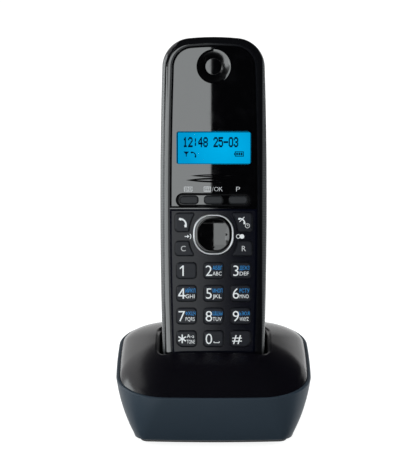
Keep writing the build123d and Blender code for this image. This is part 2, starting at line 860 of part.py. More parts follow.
with BuildPart() as rear_case:
    add(handset_block(0, 0, parting_depth))
    fillet(rear_case.faces().sort_by(backwards)[-1].edges(), back_edge_radius)
    add(handset_block(case_wall, hollow_skin, parting_depth), mode=Mode.SUBTRACT)
    # Ringer seat, screw posts and bay walls, as deep as the middle of the skin
    with BuildPart(mode=Mode.PRIVATE) as inside:
        with BuildSketch(face(ringer_seat_depth - ringer_rim)):
            with Locations((0, ringer_at)):
                Circle(ringer_radius + fit_gap + ringer_ring)
        extrude(amount=-reach)
        with BuildSketch(face(parting_depth)):
            with Locations(*post_places):
                Circle(post_radius)
        extrude(amount=-reach)
        with BuildSketch(face(bay_floor_depth - bay_wall)):
            with Locations((0, (bay_low + bay_high) / 2)):
                Rectangle(2 * (bay_half_width + bay_wall), bay_length + 2 * bay_wall)
        extrude(amount=-reach)
        with BuildSketch(handset_side):
            add(back_profile(hollow_skin / 2))
        extrude(amount=handset_width, both=True, mode=Mode.INTERSECT)
    add(inside.part)
    # Deck under the battery cover, the cover's seat, then the bay itself
    seat_skin = cover_thickness + fit_gap
    add(back_layer(cover_outline(deck_margin), seat_skin, seat_skin + deck_thickness))
    add(back_layer(cover_outline(cover_gap), -1, seat_skin), mode=Mode.SUBTRACT)
    with BuildSketch(face(bay_floor_depth)):
        with Locations((0, (bay_low + bay_high) / 2)):
            Rectangle(2 * bay_half_width, bay_length)
    extrude(amount=-reach, mode=Mode.SUBTRACT)
    # Screw clearance holes and deep head recesses
    with BuildSketch(face(parting_depth)):
        with Locations(*post_places):
            Circle(screw_radius + screw_clearance)
    extrude(amount=-reach, mode=Mode.SUBTRACT)
    with BuildSketch(face(head_seat_depth)):
        with Locations(*post_places):
            Circle(screw_head_radius + head_gap)
    extrude(amount=-reach, mode=Mode.SUBTRACT)
    # Ringer seat and its grille of slots
    with BuildSketch(face(ringer_seat_depth)):
        with Locations((0, ringer_at)):
            Circle(ringer_radius + fit_gap)
    extrude(amount=ringer_seat_depth, mode=Mode.SUBTRACT)
    with BuildSketch(face(ringer_seat_depth)):
        with Locations((0, ringer_at)):
            with GridLocations(0, grille_pitch, 1, grille_slots):
                Rectangle(grille_length, grille_width)
    extrude(amount=-reach, mode=Mode.SUBTRACT)
    # Slots for the charging pads in the bottom wall
    with BuildSketch(end_plane(-1)):
        with Locations((-charge_pad_x, charge_pad_depth), (charge_pad_x, charge_pad_depth)):
            Rectangle(charge_pad_width + 2 * fit_gap, charge_pad_height + 2 * fit_gap)
    extrude(amount=case_wall + 1 + bottom_crown, mode=Mode.SUBTRACT)
save(rear_case.part, "handset_rear_case")

# Battery cover with grip grooves

with BuildPart() as battery_cover:
    add(back_layer(cover_outline(0), 0, cover_thickness))
    with BuildPart(mode=Mode.PRIVATE) as grooves:
        with BuildSketch(face(parting_depth)):
            with Locations((0, grip_at)):
                with GridLocations(0, grip_pitch, 1, grip_grooves):
                    Rectangle(grip_length, grip_pitch / 2)
        extrude(amount=-reach)
        with BuildSketch(handset_side):
            add(back_profile(-1))
            add(back_profile(grip_depth), mode=Mode.SUBTRACT)
        extrude(amount=handset_width, both=True, mode=Mode.INTERSECT)
    add(grooves.part, mode=Mode.SUBTRACT)
save(battery_cover.part, "battery_cover")

# Two AAA cells and their contacts

for name, side in (("battery_left", -1), ("battery_right", 1)):
    with BuildPart() as battery:
        with BuildSketch(end_plane(cell_start)):
            with Locations((side * cell_pitch / 2, cell_depth)):
                Circle(cell_radius)
        extrude(amount=cell_length - cell_nub)
        with BuildSketch(end_plane(cell_start + cell_length - cell_nub)):
            with Locations((side * cell_pitch / 2, cell_depth)):
                Circle(cell_nub_radius)
        extrude(amount=cell_nub)
    save(battery.part, name)

with BuildPart() as battery_springs:
    for side in (-1, 1):
        with BuildSketch(handset_side.offset(side * cell_pitch / 2)):
            with BuildLine():
                Polyline(
                    (bay_low + contact_sheet / 2, -cell_depth - cell_radius * 0.7),
                    (bay_low + contact_sheet / 2, -cell_depth + cell_radius * 0.7),
                    (cell_start - contact_sheet, -cell_depth),
                    (cell_start - 2.5 * contact_sheet, -cell_depth - cell_radius * 0.5),
                )
            trace(line_width=contact_sheet)
        extrude(amount=contact_width / 2, both=True)
save(battery_springs.part, "battery_springs")

with BuildPart() as battery_plates:
    for side in (-1, 1):
        with BuildSketch(end_plane(bay_high - contact_sheet)):
            with Locations((side * cell_pitch / 2, cell_depth)):
                Rectangle(1.6 * cell_radius, 1.6 * cell_radius)
        extrude(amount=contact_sheet)
        with BuildSketch(end_plane(bay_high - bay_plate_room + fit_gap)):
            with Locations((side * cell_pitch / 2, cell_depth)):
                Circle(cell_nub_radius)
        extrude(amount=bay_plate_room - contact_sheet - fit_gap)
save(battery_plates.part, "battery_plates")

# Case screws, driven from the rear

with BuildPart() as handset_screws:
    with BuildSketch(face(head_seat_depth)):
        with Locations(*post_places):
            Circle(screw_head_radius)
    extrude(amount=-screw_head)
    with BuildSketch(face(head_seat_depth)):
        with Locations(*post_places):
            Circle(screw_radius)
    extrude(amount=screw_length)
save(handset_screws.part, "handset_screws")

# Charging pads in the handset's bottom end, each with a flange inside the wall

pad_inner = case_wall + bottom_crown * (charge_pad_x / bottom_half_width) ** 2 + 0.5
with BuildPart() as charge_pads:
    for side in (-1, 1):
        with BuildSketch(end_plane(charge_pad_sunk)):
            with Locations((side * charge_pad_x, charge_pad_depth)):
                Rectangle(charge_pad_width, charge_pad_height)
        extrude(amount=pad_inner - charge_pad_sunk)
        with BuildSketch(end_plane(pad_inner)):
            with Locations((side * charge_pad_x, charge_pad_depth)):
                Rectangle(charge_pad_width + 2 * charge_pad_shoulder, charge_pad_height)
        extrude(amount=charge_pad_flange)
save(charge_pads.part, "charge_pads")

# Shared outlines of the base

def base_section(width, depth, corner, bow):
    # A rounded oblong whose four sides all swell a little.
    x = width / 2 - bow
    y = depth / 2 - bow
    with BuildSketch() as section:
        with BuildLine():
            ThreePointArc((-x, -y), (0, -depth / 2), (x, -y))
            ThreePointArc((x, -y), (width / 2, 0), (x, y))
            ThreePointArc((x, y), (0, depth / 2), (-x, y))
            ThreePointArc((-x, y), (-width / 2, 0), (-x, -y))
        make_face()
        fillet(section.vertices(), corner)
    return section.sketch


def rim_outline(inset):
    return base_section(base_width - 2 * inset, base_depth - 2 * inset, rim_corner_radius - inset, rim_bow)


def floor_outline(inset):
    return base_section(
        floor_width - 2 * inset, floor_depth - 2 * inset, floor_corner_radius - inset, floor_bow
    )


def hollow_outline(gap):
    # The opening in the body's underside, or with a gap, the tongue that fills it.
    inset = body_low_wall + gap
    corner = rim_corner_radius - body_wall - gap
    return base_section(floor_width - 2 * inset, floor_depth - 2 * inset, corner, floor_bow)


def body_core(low_outline, high_outline):
    # A straight taper inside the body's skin, from the underside up to the slanted rim.
    with BuildPart() as core:
        with BuildSketch(Plane.XY.offset(body_low_z)):
            add(low_outline)
        with BuildSketch(rim):
            add(high_outline)
        loft(ruled=True)
    return core.part


def dome_form(wall, sections, ruled):
    # The top cover's swelling, from the seam up to the mouth of the cradle.
    with BuildPart() as form:
        for height, side_inset, front_inset, back_inset, corner in sections:
            width = seam_width - 2 * side_inset - 2 * wall
            depth = seam_depth - front_inset - back_inset - 2 * wall
            with BuildSketch(rim.offset(height - wall)):
                with Locations((0, (front_inset - back_inset) / 2)):
                    add(base_section(width, depth, corner - wall / 2, rim_bow * width / seam_width))
        loft(ruled=ruled)
    return form.part


# Base body: an open-bottomed shell with a slanted rim and a rear recess for the sockets

base_posts = [(sx * base_post_x, sy * base_post_y) for sx in (-1, 1) for sy in (-1, 1)]
recess_middle_z = (recess_low_z + recess_high_z) / 2
recess_height = recess_high_z - recess_low_z

body_middle = Plane(
    origin=(0, 0, (body_low_z + rim_centre_z) / 2),
    x_dir=(1, 0, 0),
    z_dir=(0, -sin(radians(rim_tilt / 2)), cos(radians(rim_tilt / 2))),
)

with BuildPart() as base_body:
    for height, inset in body_low_edge:
        with BuildSketch(Plane.XY.offset(body_low_z + height)):
            add(floor_outline(inset))
    loft(ruled=True)
    # The swelling side wall, then the broken edge of the rim
    with BuildSketch(Plane.XY.offset(body_low_z + body_low_edge[-1][0])):
        add(floor_outline(0))
    with BuildSketch(body_middle):
        add(
            base_section(
                (floor_width + base_width) / 2 + 2 * body_belly,
                (floor_depth + base_depth) / 2 + 2 * body_belly,
                (floor_corner_radius + rim_corner_radius) / 2,
                (floor_bow + rim_bow) / 2,
            )
        )
    with BuildSketch(rim.offset(-rim_edge)):
        add(rim_outline(0))
    loft()
    with BuildSketch(rim.offset(-rim_edge)):
        add(rim_outline(0))
    with BuildSketch(rim):
        add(rim_outline(rim_edge))
    loft(ruled=True)
    add(body_core(hollow_outline(0), rim_outline(body_wall)), mode=Mode.SUBTRACT)
    with BuildSketch(rim.offset(-ledge_depth)):
        add(rim_outline(rim_land))
    extrude(amount=ledge_depth + 2, mode=Mode.SUBTRACT)
    # Walls of the rear recess, screw posts and their ribs, kept inside the skin
    with BuildPart(mode=Mode.PRIVATE) as inside:
        with BuildSketch(upright(socket_face_y)):
            with Locations((0, recess_middle_z)):
                Rectangle(2 * (recess_half_width + recess_wall), recess_height + 2 * recess_wall)
        extrude(amount=-base_depth)
        with BuildSketch(Plane.XY.offset(plate_top_z)):
            with Locations(*base_posts):
                Circle(base_post_radius)
            for sx in (-1, 1):
                with Locations(*[(sx * (base_post_x + base_width / 2) / 2, sy * base_post_y) for sy in (-1, 1)]):
                    Rectangle(base_width / 2 - base_post_x, base_rib)
        extrude(amount=base_post_top - plate_top_z)
        skin_middle = body_core(floor_outline(body_low_wall / 2), rim_outline(body_wall / 2))
        add(skin_middle, mode=Mode.INTERSECT)
    add(inside.part)
    with BuildSketch(upright(recess_plane_y)):
        with Locations((0, recess_middle_z)):
            RectangleRounded(2 * recess_half_width, recess_height, recess_radius)
    extrude(amount=-base_depth, mode=Mode.SUBTRACT)
    # Openings for the two sockets and the button
    with BuildSketch(upright(recess_plane_y + 1)):
        with Locations((dc_x, dc_axis_z)):
            Circle(dc_bore_radius + socket_margin)
        with Locations((line_x, line_bore_z)):
            Rectangle(line_bore_width + 2 * socket_margin, line_bore_height + 2 * socket_margin)
        with Locations((line_x, line_bore_z - line_bore_height / 2 - line_notch_height / 2)):
            Rectangle(line_notch_width + 2 * socket_margin, line_notch_height + 2 * socket_margin)
        with Locations((locator_x, locator_z)):
            Circle(locator_radius + locator_gap)
    extrude(amount=recess_wall + 2, mode=Mode.SUBTRACT)
    with BuildSketch(Plane.XY.offset(plate_top_z)):
        with Locations(*base_posts):
            Circle(base_screw_radius + screw_clearance)
    extrude(amount=base_screw_length, mode=Mode.SUBTRACT)
save(base_body.part, "base_body")

# Top cover: a domed shell with the cradle's tub hanging in it

cradle_front = -cradle_front_gap
cradle_back = back_depth_at(cradle_mouth_at) + seat_rest


def cradle(wall):
    # The straight space the handset stands in, or with a wall round it, its tub.
    with BuildPart() as space:
        with BuildSketch(end_plane(-seat_rest - wall)) as section:
            with Locations((0, (cradle_front + cradle_back) / 2)):
                Rectangle(2 * (cradle_half + wall), cradle_back - cradle_front + 2 * wall)
            corners = section.vertices().sort_by(backwards)
            fillet(corners[:2], front_edge_radius + wall)
            fillet(section.vertices().sort_by(backwards)[-2:], back_edge_radius + wall)
        extrude(amount=handset_length / 2)
    return space.part


def on_mouth(edge):
    # True for the edges where the cradle's walls meet the dome.
    middle = handset.to_local_coords(edge.center())
    along = abs((edge @ 1 - edge @ 0).normalized().dot(handset.y_dir))
    across = abs(middle.X) < cradle_half + fit_gap
    between = cradle_front - fit_gap < -middle.Z < cradle_back + fit_gap
    return across and between and middle.Y > cradle_wall and along < 0.98


leaf_foot_along = -seat_rest - cradle_wall - fit_gap
with BuildPart() as base_top_cover:
    add(dome_form(0, dome_sections, False))
    with BuildSketch(rim):
        add(rim_outline(rim_land + cover_seam))
    extrude(amount=-ledge_depth)
    add(dome_form(dome_wall, dome_sections[:3:2], True), mode=Mode.SUBTRACT)
    with BuildPart(mode=Mode.PRIVATE) as tub:
        add(dome_form(dome_wall / 2, dome_sections[:3:2], True))
        with BuildSketch(rim.offset(-dome_wall / 2)):
            add(rim_outline(rim_land + 3 * dome_wall))
        extrude(amount=-rim_centre_z)
        add(cradle(cradle_wall), mode=Mode.INTERSECT)
    add(tub.part)
    add(cradle(0), mode=Mode.SUBTRACT)
    fillet(list(filter(on_mouth, base_top_cover.edges(Select.LAST))), cradle_rim_radius)
    # Slots for the charging leaves in the cradle's floor
    with BuildSketch(end_plane(leaf_foot_along - 1)):
        with Locations((-charge_pad_x, charge_pad_depth), (charge_pad_x, charge_pad_depth)):
            Rectangle(charge_leaf_width + 2 * charge_slot_gap, charge_leaf_depth + 2 * charge_slot_gap)
    extrude(amount=cradle_wall + 2, mode=Mode.SUBTRACT)
save(base_top_cover.part, "base_top_cover")

# Sprung charging leaves: bent strips that touch the pads from below

for name, side in (("charge_leaf_left", -1), ("charge_leaf_right", 1)):
    with BuildPart() as leaf:
        with BuildSketch(handset_side.offset(side * charge_pad_x)):
            half = charge_leaf_depth / 2 - charge_leaf_sheet / 2
            top = charge_pad_sunk - charge_leaf_gap - charge_leaf_sheet / 2
            foot = leaf_foot_along - charge_leaf_sheet / 2
            front = -charge_pad_depth + half
            back = -charge_pad_depth - half
            with BuildLine():
                Polyline((foot, back - charge_leaf_foot), (foot, back), (top - half, back))
                ThreePointArc((top - half, back), (top, -charge_pad_depth), (top - half, front))
                Polyline((top - half, front), (foot, front), (foot, front + charge_leaf_foot))
            trace(line_width=charge_leaf_sheet)
        extrude(amount=charge_leaf_width / 2, both=True)
    save(leaf.part, name)

# Underside: plate, rubber feet and screws

with BuildPart() as base_bottom_plate:
    with BuildSketch(Plane.XY.offset(plate_low_z)):
        add(floor_outline(plate_inset))
    extrude(amount=body_low_z - plate_low_z)
    with BuildSketch(Plane.XY.offset(body_low_z)):
        add(hollow_outline(plate_gap))
    extrude(amount=plate_tongue)
    with BuildSketch(Plane.XY.offset(plate_top_z)):
        with GridLocations(2 * standoff_x, 0, 2, 1):
            Rectangle(standoff_width, standoff_length)
    extrude(amount=base_board_z - plate_top_z)
    with BuildSketch(Plane.XY.offset(plate_low_z)):
        with Locations(*base_posts):
            Circle(base_screw_head_radius + head_gap)
    extrude(amount=base_screw_head, mode=Mode.SUBTRACT)
    with BuildSketch(Plane.XY.offset(plate_low_z)):
        with Locations(*base_posts):
            Circle(base_screw_radius + screw_clearance)
    extrude(amount=plate_top_z, mode=Mode.SUBTRACT)
save(base_bottom_plate.part, "base_bottom_plate")

with BuildPart() as base_feet:
    with BuildSketch(Plane.XY):
        with GridLocations(2 * foot_x, 2 * foot_y, 2, 2):
            Circle(foot_radius)
    extrude(amount=plate_low_z)
save(base_feet.part, "base_feet")

with BuildPart() as base_screws:
    head_z = plate_low_z + base_screw_head
    with BuildSketch(Plane.XY.offset(head_z)):
        with Locations(*base_posts):
            Circle(base_screw_head_radius)
    extrude(amount=-base_screw_head + head_gap)
    with BuildSketch(Plane.XY.offset(head_z)):
        with Locations(*base_posts):
            Circle(base_screw_radius)
    extrude(amount=base_screw_length)
save(base_screws.part, "base_screws")

# Base board with its parts, the sockets and the locator button

board_back_y = socket_face_y - 0.4
with BuildPart() as base_board:
    with BuildSketch(Plane.XY.offset(base_board_z)):
        with Locations((0, (base_board_front + board_back_y) / 2)):
            Rectangle(base_board_width, board_back_y - base_board_front)
    extrude(amount=base_board_thickness)
save(base_board.part, "base_board")

with BuildPart() as base_components:
    # A screening can, a chip and three capacitors
    with BuildSketch(Plane.XY.offset(board_top_z)):
        with Locations((can_x, can_y)):
            Rectangle(can_width, can_depth)
    extrude(amount=can_height)
    with BuildSketch(Plane.XY.offset(board_top_z)):
        with Locations((chip_x, chip_y)):
            Rectangle(chip_size, chip_size)
    extrude(amount=chip_height)
    with BuildSketch(Plane.XY.offset(board_top_z)):
        with Locations(*capacitor_places):
            Circle(capacitor_radius)
    extrude(amount=capacitor_height)
save(base_components.part, "base_components")

with BuildPart() as dc_jack:
    with BuildSketch(upright(socket_face_y)):
        with Locations((dc_x, board_top_z + dc_height / 2)):
            Rectangle(dc_width, dc_height)
    extrude(amount=dc_length)
    with BuildSketch(upright(socket_face_y)):
        with Locations((dc_x, dc_axis_z)):
            Circle(dc_bore_radius)
    extrude(amount=dc_bore_length, mode=Mode.SUBTRACT)
save(dc_jack.part, "dc_jack")

with BuildPart() as dc_pin:
    with BuildSketch(upright(socket_face_y - dc_bore_length)):
        with Locations((dc_x, dc_axis_z)):
            Circle(dc_pin_radius)
    extrude(amount=-dc_pin_length)
save(dc_pin.part, "dc_pin")

with BuildPart() as line_jack:
    with BuildSketch(upright(socket_face_y)):
        with Locations((line_x, board_top_z + line_height / 2)):
            Rectangle(line_width, line_height)
    extrude(amount=line_length)
    with BuildSketch(upright(socket_face_y)):
        with Locations((line_x, line_bore_z)):
            Rectangle(line_bore_width, line_bore_height)
        with Locations((line_x, line_bore_z - line_bore_height / 2 - line_notch_height / 2)):
            Rectangle(line_notch_width, line_notch_height)
    extrude(amount=line_bore_length, mode=Mode.SUBTRACT)
save(line_jack.part, "line_jack")

with BuildPart() as line_contacts:
    back = socket_face_y - line_bore_length
    high = line_bore_z + line_bore_height / 2 - line_wire / 2 - fit_gap
    for index in range(line_wire_count):
        with BuildSketch(Plane.YZ.offset(line_x + (index - (line_wire_count - 1) / 2) * line_wire_pitch)):
            with BuildLine():
                Polyline((back + line_wire, high), (socket_face_y - 3, high), (back + 3.5, high - 1.6))
            trace(line_width=line_wire)
        extrude(amount=line_wire / 2, both=True)
save(line_contacts.part, "line_contacts")

flange_face_y = socket_face_y - flange_gap
with BuildPart() as locator_button:
    with BuildSketch(upright(recess_plane_y + locator_proud)):
        with Locations((locator_x, locator_z)):
            Circle(locator_radius)
    extrude(amount=recess_plane_y + locator_proud - flange_face_y)
    chamfer(locator_button.faces().sort_by(Axis.Y)[-1].edges(), key_edge)
    with BuildSketch(upright(flange_face_y)):
        with Locations((locator_x, locator_z)):
            Circle(locator_radius + flange_lip + locator_gap)
    extrude(amount=flange_thickness)
    with BuildSketch(upright(flange_face_y - flange_thickness)):
        with Locations((locator_x, locator_z)):
            Circle(locator_stem_radius)
    extrude(amount=locator_stem)
save(locator_button.part, "locator_button")

with BuildPart() as locator_switch:
    switch_face_y = flange_face_y - flange_thickness - locator_stem - locator_travel - fit_gap
    with BuildSketch(upright(switch_face_y)):
        with Locations((locator_x, board_top_z)):
            Rectangle(switch_width, locator_z - board_top_z + switch_rise, align=(Align.CENTER, Align.MIN))
    extrude(amount=switch_length)
save(locator_switch.part, "locator_switch")
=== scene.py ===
import json
from math import cos, pi, radians, sin

import bpy
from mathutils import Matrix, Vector
from mathutils.geometry import convex_hull_2d


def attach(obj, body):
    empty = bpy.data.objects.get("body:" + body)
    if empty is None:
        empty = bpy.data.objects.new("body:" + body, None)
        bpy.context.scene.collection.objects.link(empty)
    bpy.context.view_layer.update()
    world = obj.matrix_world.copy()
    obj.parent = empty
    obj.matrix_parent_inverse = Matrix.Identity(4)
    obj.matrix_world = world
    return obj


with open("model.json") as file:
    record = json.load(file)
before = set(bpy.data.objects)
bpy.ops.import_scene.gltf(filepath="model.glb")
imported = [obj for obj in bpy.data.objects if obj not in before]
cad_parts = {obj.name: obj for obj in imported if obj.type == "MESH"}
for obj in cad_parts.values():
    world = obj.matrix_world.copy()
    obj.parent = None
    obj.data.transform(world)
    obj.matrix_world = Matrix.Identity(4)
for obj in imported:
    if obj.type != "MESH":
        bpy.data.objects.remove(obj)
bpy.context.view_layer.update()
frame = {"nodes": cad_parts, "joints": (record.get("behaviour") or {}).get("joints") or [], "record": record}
nodes = frame["nodes"]
mm = 0.001
print("frame loaded,", len(nodes), "nodes")

# Handset coordinates in metres: across, up along the handset, out of its face
liftJoint = next(j for j in frame["joints"] if j["name"] == "handset_lift")
acrossAxis = Vector((1, 0, 0))
upAxis = Vector(liftJoint["axis"]).normalized()
outAxis = acrossAxis.cross(upAxis)
capSkin = 0.05 * mm  # what lies this near to the top of a key is its cap


def onFace(x, along, out):
    return acrossAxis * x + upAxis * along + outAxis * out


def facePoints(name):
    return [(v.co.dot(acrossAxis), v.co.dot(upAxis), v.co.dot(outAxis)) for v in nodes[name].data.vertices]


def spanOf(points):
    return [min(axis) for axis in zip(*points)], [max(axis) for axis in zip(*points)]


def faceSpan(name):
    return spanOf(facePoints(name))


def faceMiddle(name):
    return [(a + b) / 2 for a, b in zip(*faceSpan(name))]


def faceTop(name):
    return faceSpan(name)[1][2]


def capMiddle(name):
    top = faceTop(name)
    low, high = spanOf([p for p in facePoints(name) if p[2] > top - capSkin])
    return (low[0] + high[0]) / 2, (low[1] + high[1]) / 2, top


# Node helpers
def newGroup(name, inputs, outputs):
    group = bpy.data.node_groups.new(name, "ShaderNodeTree")
    for socketName, kind, value in inputs:
        socket = group.interface.new_socket(socketName, in_out="INPUT", socket_type=kind)
        socket.default_value = value
    for socketName, kind in outputs:
        group.interface.new_socket(socketName, in_out="OUTPUT", socket_type=kind)
    return group, group.nodes.new("NodeGroupInput"), group.nodes.new("NodeGroupOutput")


def addNode(tree, kind, **settings):
    node = tree.nodes.new(kind)
    for key, value in settings.items():
        setattr(node, key, value)
    return node


def objectCoords(tree):
    return addNode(tree, "ShaderNodeTexCoord").outputs["Object"]


def mathNode(tree, operation, first, second):
    node = addNode(tree, "ShaderNodeMath", operation=operation)
    for socket, value in zip(node.inputs, (first, second)):
        if isinstance(value, (int, float)):
            socket.default_value = value
        else:
            tree.links.new(value, socket)
    return node.outputs[0]


def mixColour(tree, factor, first, second):
    node = addNode(tree, "ShaderNodeMix", data_type="RGBA")
    tree.links.new(factor, node.inputs["Factor"])
    for socket, value in ((node.inputs[6], first), (node.inputs[7], second)):
        if isinstance(value, tuple):
            socket.default_value = (*value, 1)
        else:
            tree.links.new(value, socket)
    return node.outputs[2]


def noiseNode(tree, coords, scale, detail, roughness=0.5):
    node = addNode(tree, "ShaderNodeTexNoise")
    node.inputs["Detail"].default_value = detail
    node.inputs["Roughness"].default_value = roughness
    tree.links.new(coords, node.inputs["Vector"])
    if isinstance(scale, (int, float)):
        node.inputs["Scale"].default_value = scale
    else:
        tree.links.new(scale, node.inputs["Scale"])
    return node.outputs["Fac"]


def rampNode(tree, value, start, end):
    node = addNode(tree, "ShaderNodeMapRange")
    node.inputs["From Min"].default_value = start
    node.inputs["From Max"].default_value = end
    tree.links.new(value, node.inputs["Value"])
    return node.outputs[0]


def dotWith(tree, coords, axis):
    node = addNode(tree, "ShaderNodeVectorMath", operation="DOT_PRODUCT")
    tree.links.new(coords, node.inputs[0])
    node.inputs[1].default_value = axis
    return node.outputs["Value"]


# Spark-eroded grain of moulded plastic, with a slow drift of tone and polish
skinNoise = {"grainDetail": 1.5, "driftScale": 55.0, "driftDetail": 3.0, "drift": 0.12}


def buildMouldedSkin():
    group, given, result = newGroup(
        "mouldedSkin",
        [
            ("Colour", "NodeSocketColor", (0.1, 0.1, 0.1, 1)),
            ("Drift", "NodeSocketFloat", 0.1),
            ("Polish", "NodeSocketFloat", 0.4),
            ("Polish Spread", "NodeSocketFloat", 0.06),
            ("Grain Scale", "NodeSocketFloat", 3200.0),
        ],
        [("Colour", "NodeSocketColor"), ("Roughness", "NodeSocketFloat"), ("Height", "NodeSocketFloat")],
    )
    coords = objectCoords(group)
    grain = noiseNode(group, coords, given.outputs["Grain Scale"], skinNoise["grainDetail"])
    slow = noiseNode(group, coords, skinNoise["driftScale"], skinNoise["driftDetail"])
    centred = mathNode(group, "SUBTRACT", slow, 0.5)
    tone = mathNode(group, "ADD", mathNode(group, "MULTIPLY", centred, given.outputs["Drift"]), 1.0)
    scaled = addNode(group, "ShaderNodeVectorMath", operation="SCALE")
    group.links.new(given.outputs["Colour"], scaled.inputs[0])
    group.links.new(tone, scaled.inputs["Scale"])
    group.links.new(scaled.outputs[0], result.inputs["Colour"])
    speck = mathNode(group, "SUBTRACT", grain, 0.5)
    spread = mathNode(group, "MULTIPLY", mathNode(group, "ADD", centred, speck), given.outputs["Polish Spread"])
    group.links.new(mathNode(group, "ADD", spread, given.outputs["Polish"]), result.inputs["Roughness"])
    group.links.new(grain, result.inputs["Height"])
    return group


# Faint haze that handling leaves on polished faces
hazeCloud = {"scale": 160.0, "detail": 4.0, "roughness": 0.6, "start": 0.5, "full": 0.8}


def buildHandHaze():
    group, given, result = newGroup(
        "handHaze",
        [
            ("Clean", "NodeSocketFloat", 0.03),
            ("Hazed", "NodeSocketFloat", 0.09),
            ("Scale", "NodeSocketFloat", hazeCloud["scale"]),
        ],
        [("Roughness", "NodeSocketFloat"), ("Haze", "NodeSocketFloat")],
    )
    coords = objectCoords(group)
    cloud = noiseNode(group, coords, given.outputs["Scale"], hazeCloud["detail"], hazeCloud["roughness"])
    haze = rampNode(group, cloud, hazeCloud["start"], hazeCloud["full"])
    span = mathNode(group, "SUBTRACT", given.outputs["Hazed"], given.outputs["Clean"])
    rough = mathNode(group, "ADD", mathNode(group, "MULTIPLY", haze, span), given.outputs["Clean"])
    group.links.new(rough, result.inputs["Roughness"])
    group.links.new(haze, result.inputs["Haze"])
    return group


# Staggered rows of small dots moulded along the two long edges of the handset
gripRows = {"pitch": 0.75 * mm, "start": 22.1 * mm, "fade": 0.5 * mm}


def buildGripDots():
    group, given, result = newGroup(
        "gripDots",
        [("Pitch", "NodeSocketFloat", gripRows["pitch"]), ("Start", "NodeSocketFloat", gripRows["start"])],
        [("Mask", "NodeSocketFloat"), ("Height", "NodeSocketFloat")],
    )
    coords = objectCoords(group)
    across = mathNode(group, "ABSOLUTE", dotWith(group, coords, acrossAxis), 0.0)
    girth = mathNode(group, "SUBTRACT", across, dotWith(group, coords, outAxis))
    waves = []
    for place in (dotWith(group, coords, upAxis), girth):
        turns = mathNode(group, "DIVIDE", place, given.outputs["Pitch"])
        waves.append(mathNode(group, "SINE", mathNode(group, "MULTIPLY", turns, pi), 0.0))
    dots = mathNode(group, "ABSOLUTE", mathNode(group, "MULTIPLY", *waves), 0.0)
    mask = addNode(group, "ShaderNodeMapRange", interpolation_type="SMOOTHSTEP")
    group.links.new(across, mask.inputs["Value"])
    group.links.new(given.outputs["Start"], mask.inputs["From Min"])
    group.links.new(mathNode(group, "ADD", given.outputs["Start"], gripRows["fade"]), mask.inputs["From Max"])
    group.links.new(mask.outputs[0], result.inputs["Mask"])
    group.links.new(mathNode(group, "MULTIPLY", dots, mask.outputs[0]), result.inputs["Height"])
    return group


mouldedSkin = buildMouldedSkin()
handHaze = buildHandHaze()
gripDots = buildGripDots()
print("shader groups made")


def newFinish(name):
    material = bpy.data.materials.new(name)
    material.use_nodes = True
    return material, material.node_tree, material.node_tree.nodes["Principled BSDF"]


def setShader(shader, **values):
    for key, value in values.items():
        shader.inputs[key].default_value = value


def placeGroup(tree, group, **values):
    node = addNode(tree, "ShaderNodeGroup", node_tree=group)
    for key, value in values.items():
        node.inputs[key].default_value = value
    return node


def placeSkin(tree, colour, polish, spread):
    skin = placeGroup(tree, mouldedSkin, Colour=(*colour, 1), Drift=skinNoise["drift"], Polish=polish)
    skin.inputs["Polish Spread"].default_value = spread
    return skin


def addBump(tree, shader, height, depth):
    bump = addNode(tree, "ShaderNodeBump")
    bump.inputs["Strength"].default_value = 1.0
    bump.inputs["Distance"].default_value = depth
    tree.links.new(height, bump.inputs["Height"])
    tree.links.new(bump.outputs["Normal"], shader.inputs["Normal"])


def mouldedPlastic(name, colour, polish, spread=0.06, grain=3200.0, depth=0.004 * mm, specular=0.5):
    material, tree, shader = newFinish(name)
    skin = placeSkin(tree, colour, polish, spread)
    skin.inputs["Grain Scale"].default_value = grain
    tree.links.new(skin.outputs["Colour"], shader.inputs["Base Color"])
    tree.links.new(skin.outputs["Roughness"], shader.inputs["Roughness"])
    addBump(tree, shader, skin.outputs["Height"], depth)
    setShader(shader, **{"Specular IOR Level": specular})
    return material


hazeTint = {"gain": 1.6, "lift": 0.001}  # what haze does to the colour under it


def polishedPlastic(name, colour, clean, hazed, ior=1.5, dulled=None):
    # dulled is a function that gives more roughness for part of the face
    material, tree, shader = newFinish(name)
    haze = placeGroup(tree, handHaze, Clean=clean, Hazed=hazed)
    tint = tuple(c * hazeTint["gain"] + hazeTint["lift"] for c in colour)
    tree.links.new(mixColour(tree, haze.outputs["Haze"], colour, tint), shader.inputs["Base Color"])
    rough = haze.outputs["Roughness"]
    if dulled:
        rough = mathNode(tree, "ADD", rough, dulled(tree))
    tree.links.new(rough, shader.inputs["Roughness"])
    setShader(shader, IOR=ior)
    return material


# The slope of the ear dish, between its floor and its rim, is duller than the rest of the upper panel
earDish = {"floor": 3.6 * mm, "rim": 6.9 * mm, "edge": 0.25 * mm, "dull": 0.18}


def dishSlope(tree):
    middleX, middleAlong, _ = faceMiddle("earpiece_capsule")
    coords = objectCoords(tree)
    aside = mathNode(tree, "SUBTRACT", dotWith(tree, coords, acrossAxis), middleX)
    along = mathNode(tree, "SUBTRACT", dotWith(tree, coords, upAxis), middleAlong)
    squares = [mathNode(tree, "MULTIPLY", side, side) for side in (aside, along)]
    reach = mathNode(tree, "POWER", mathNode(tree, "ADD", *squares), 0.5)
    pastFloor = rampNode(tree, reach, earDish["floor"], earDish["floor"] + earDish["edge"])
    beforeRim = rampNode(tree, reach, earDish["rim"] + earDish["edge"], earDish["rim"])
    return mathNode(tree, "MULTIPLY", mathNode(tree, "MULTIPLY", pastFloor, beforeRim), earDish["dull"])


# Fine unevenness of drawn or pressed metal
metalNoise = {
    "scale": 900.0, "detail": 3.0, "roughness": 0.6, "worn": 0.78,
    "polishLow": 0.75, "polishSpread": 0.5, "depth": 0.003 * mm,
}


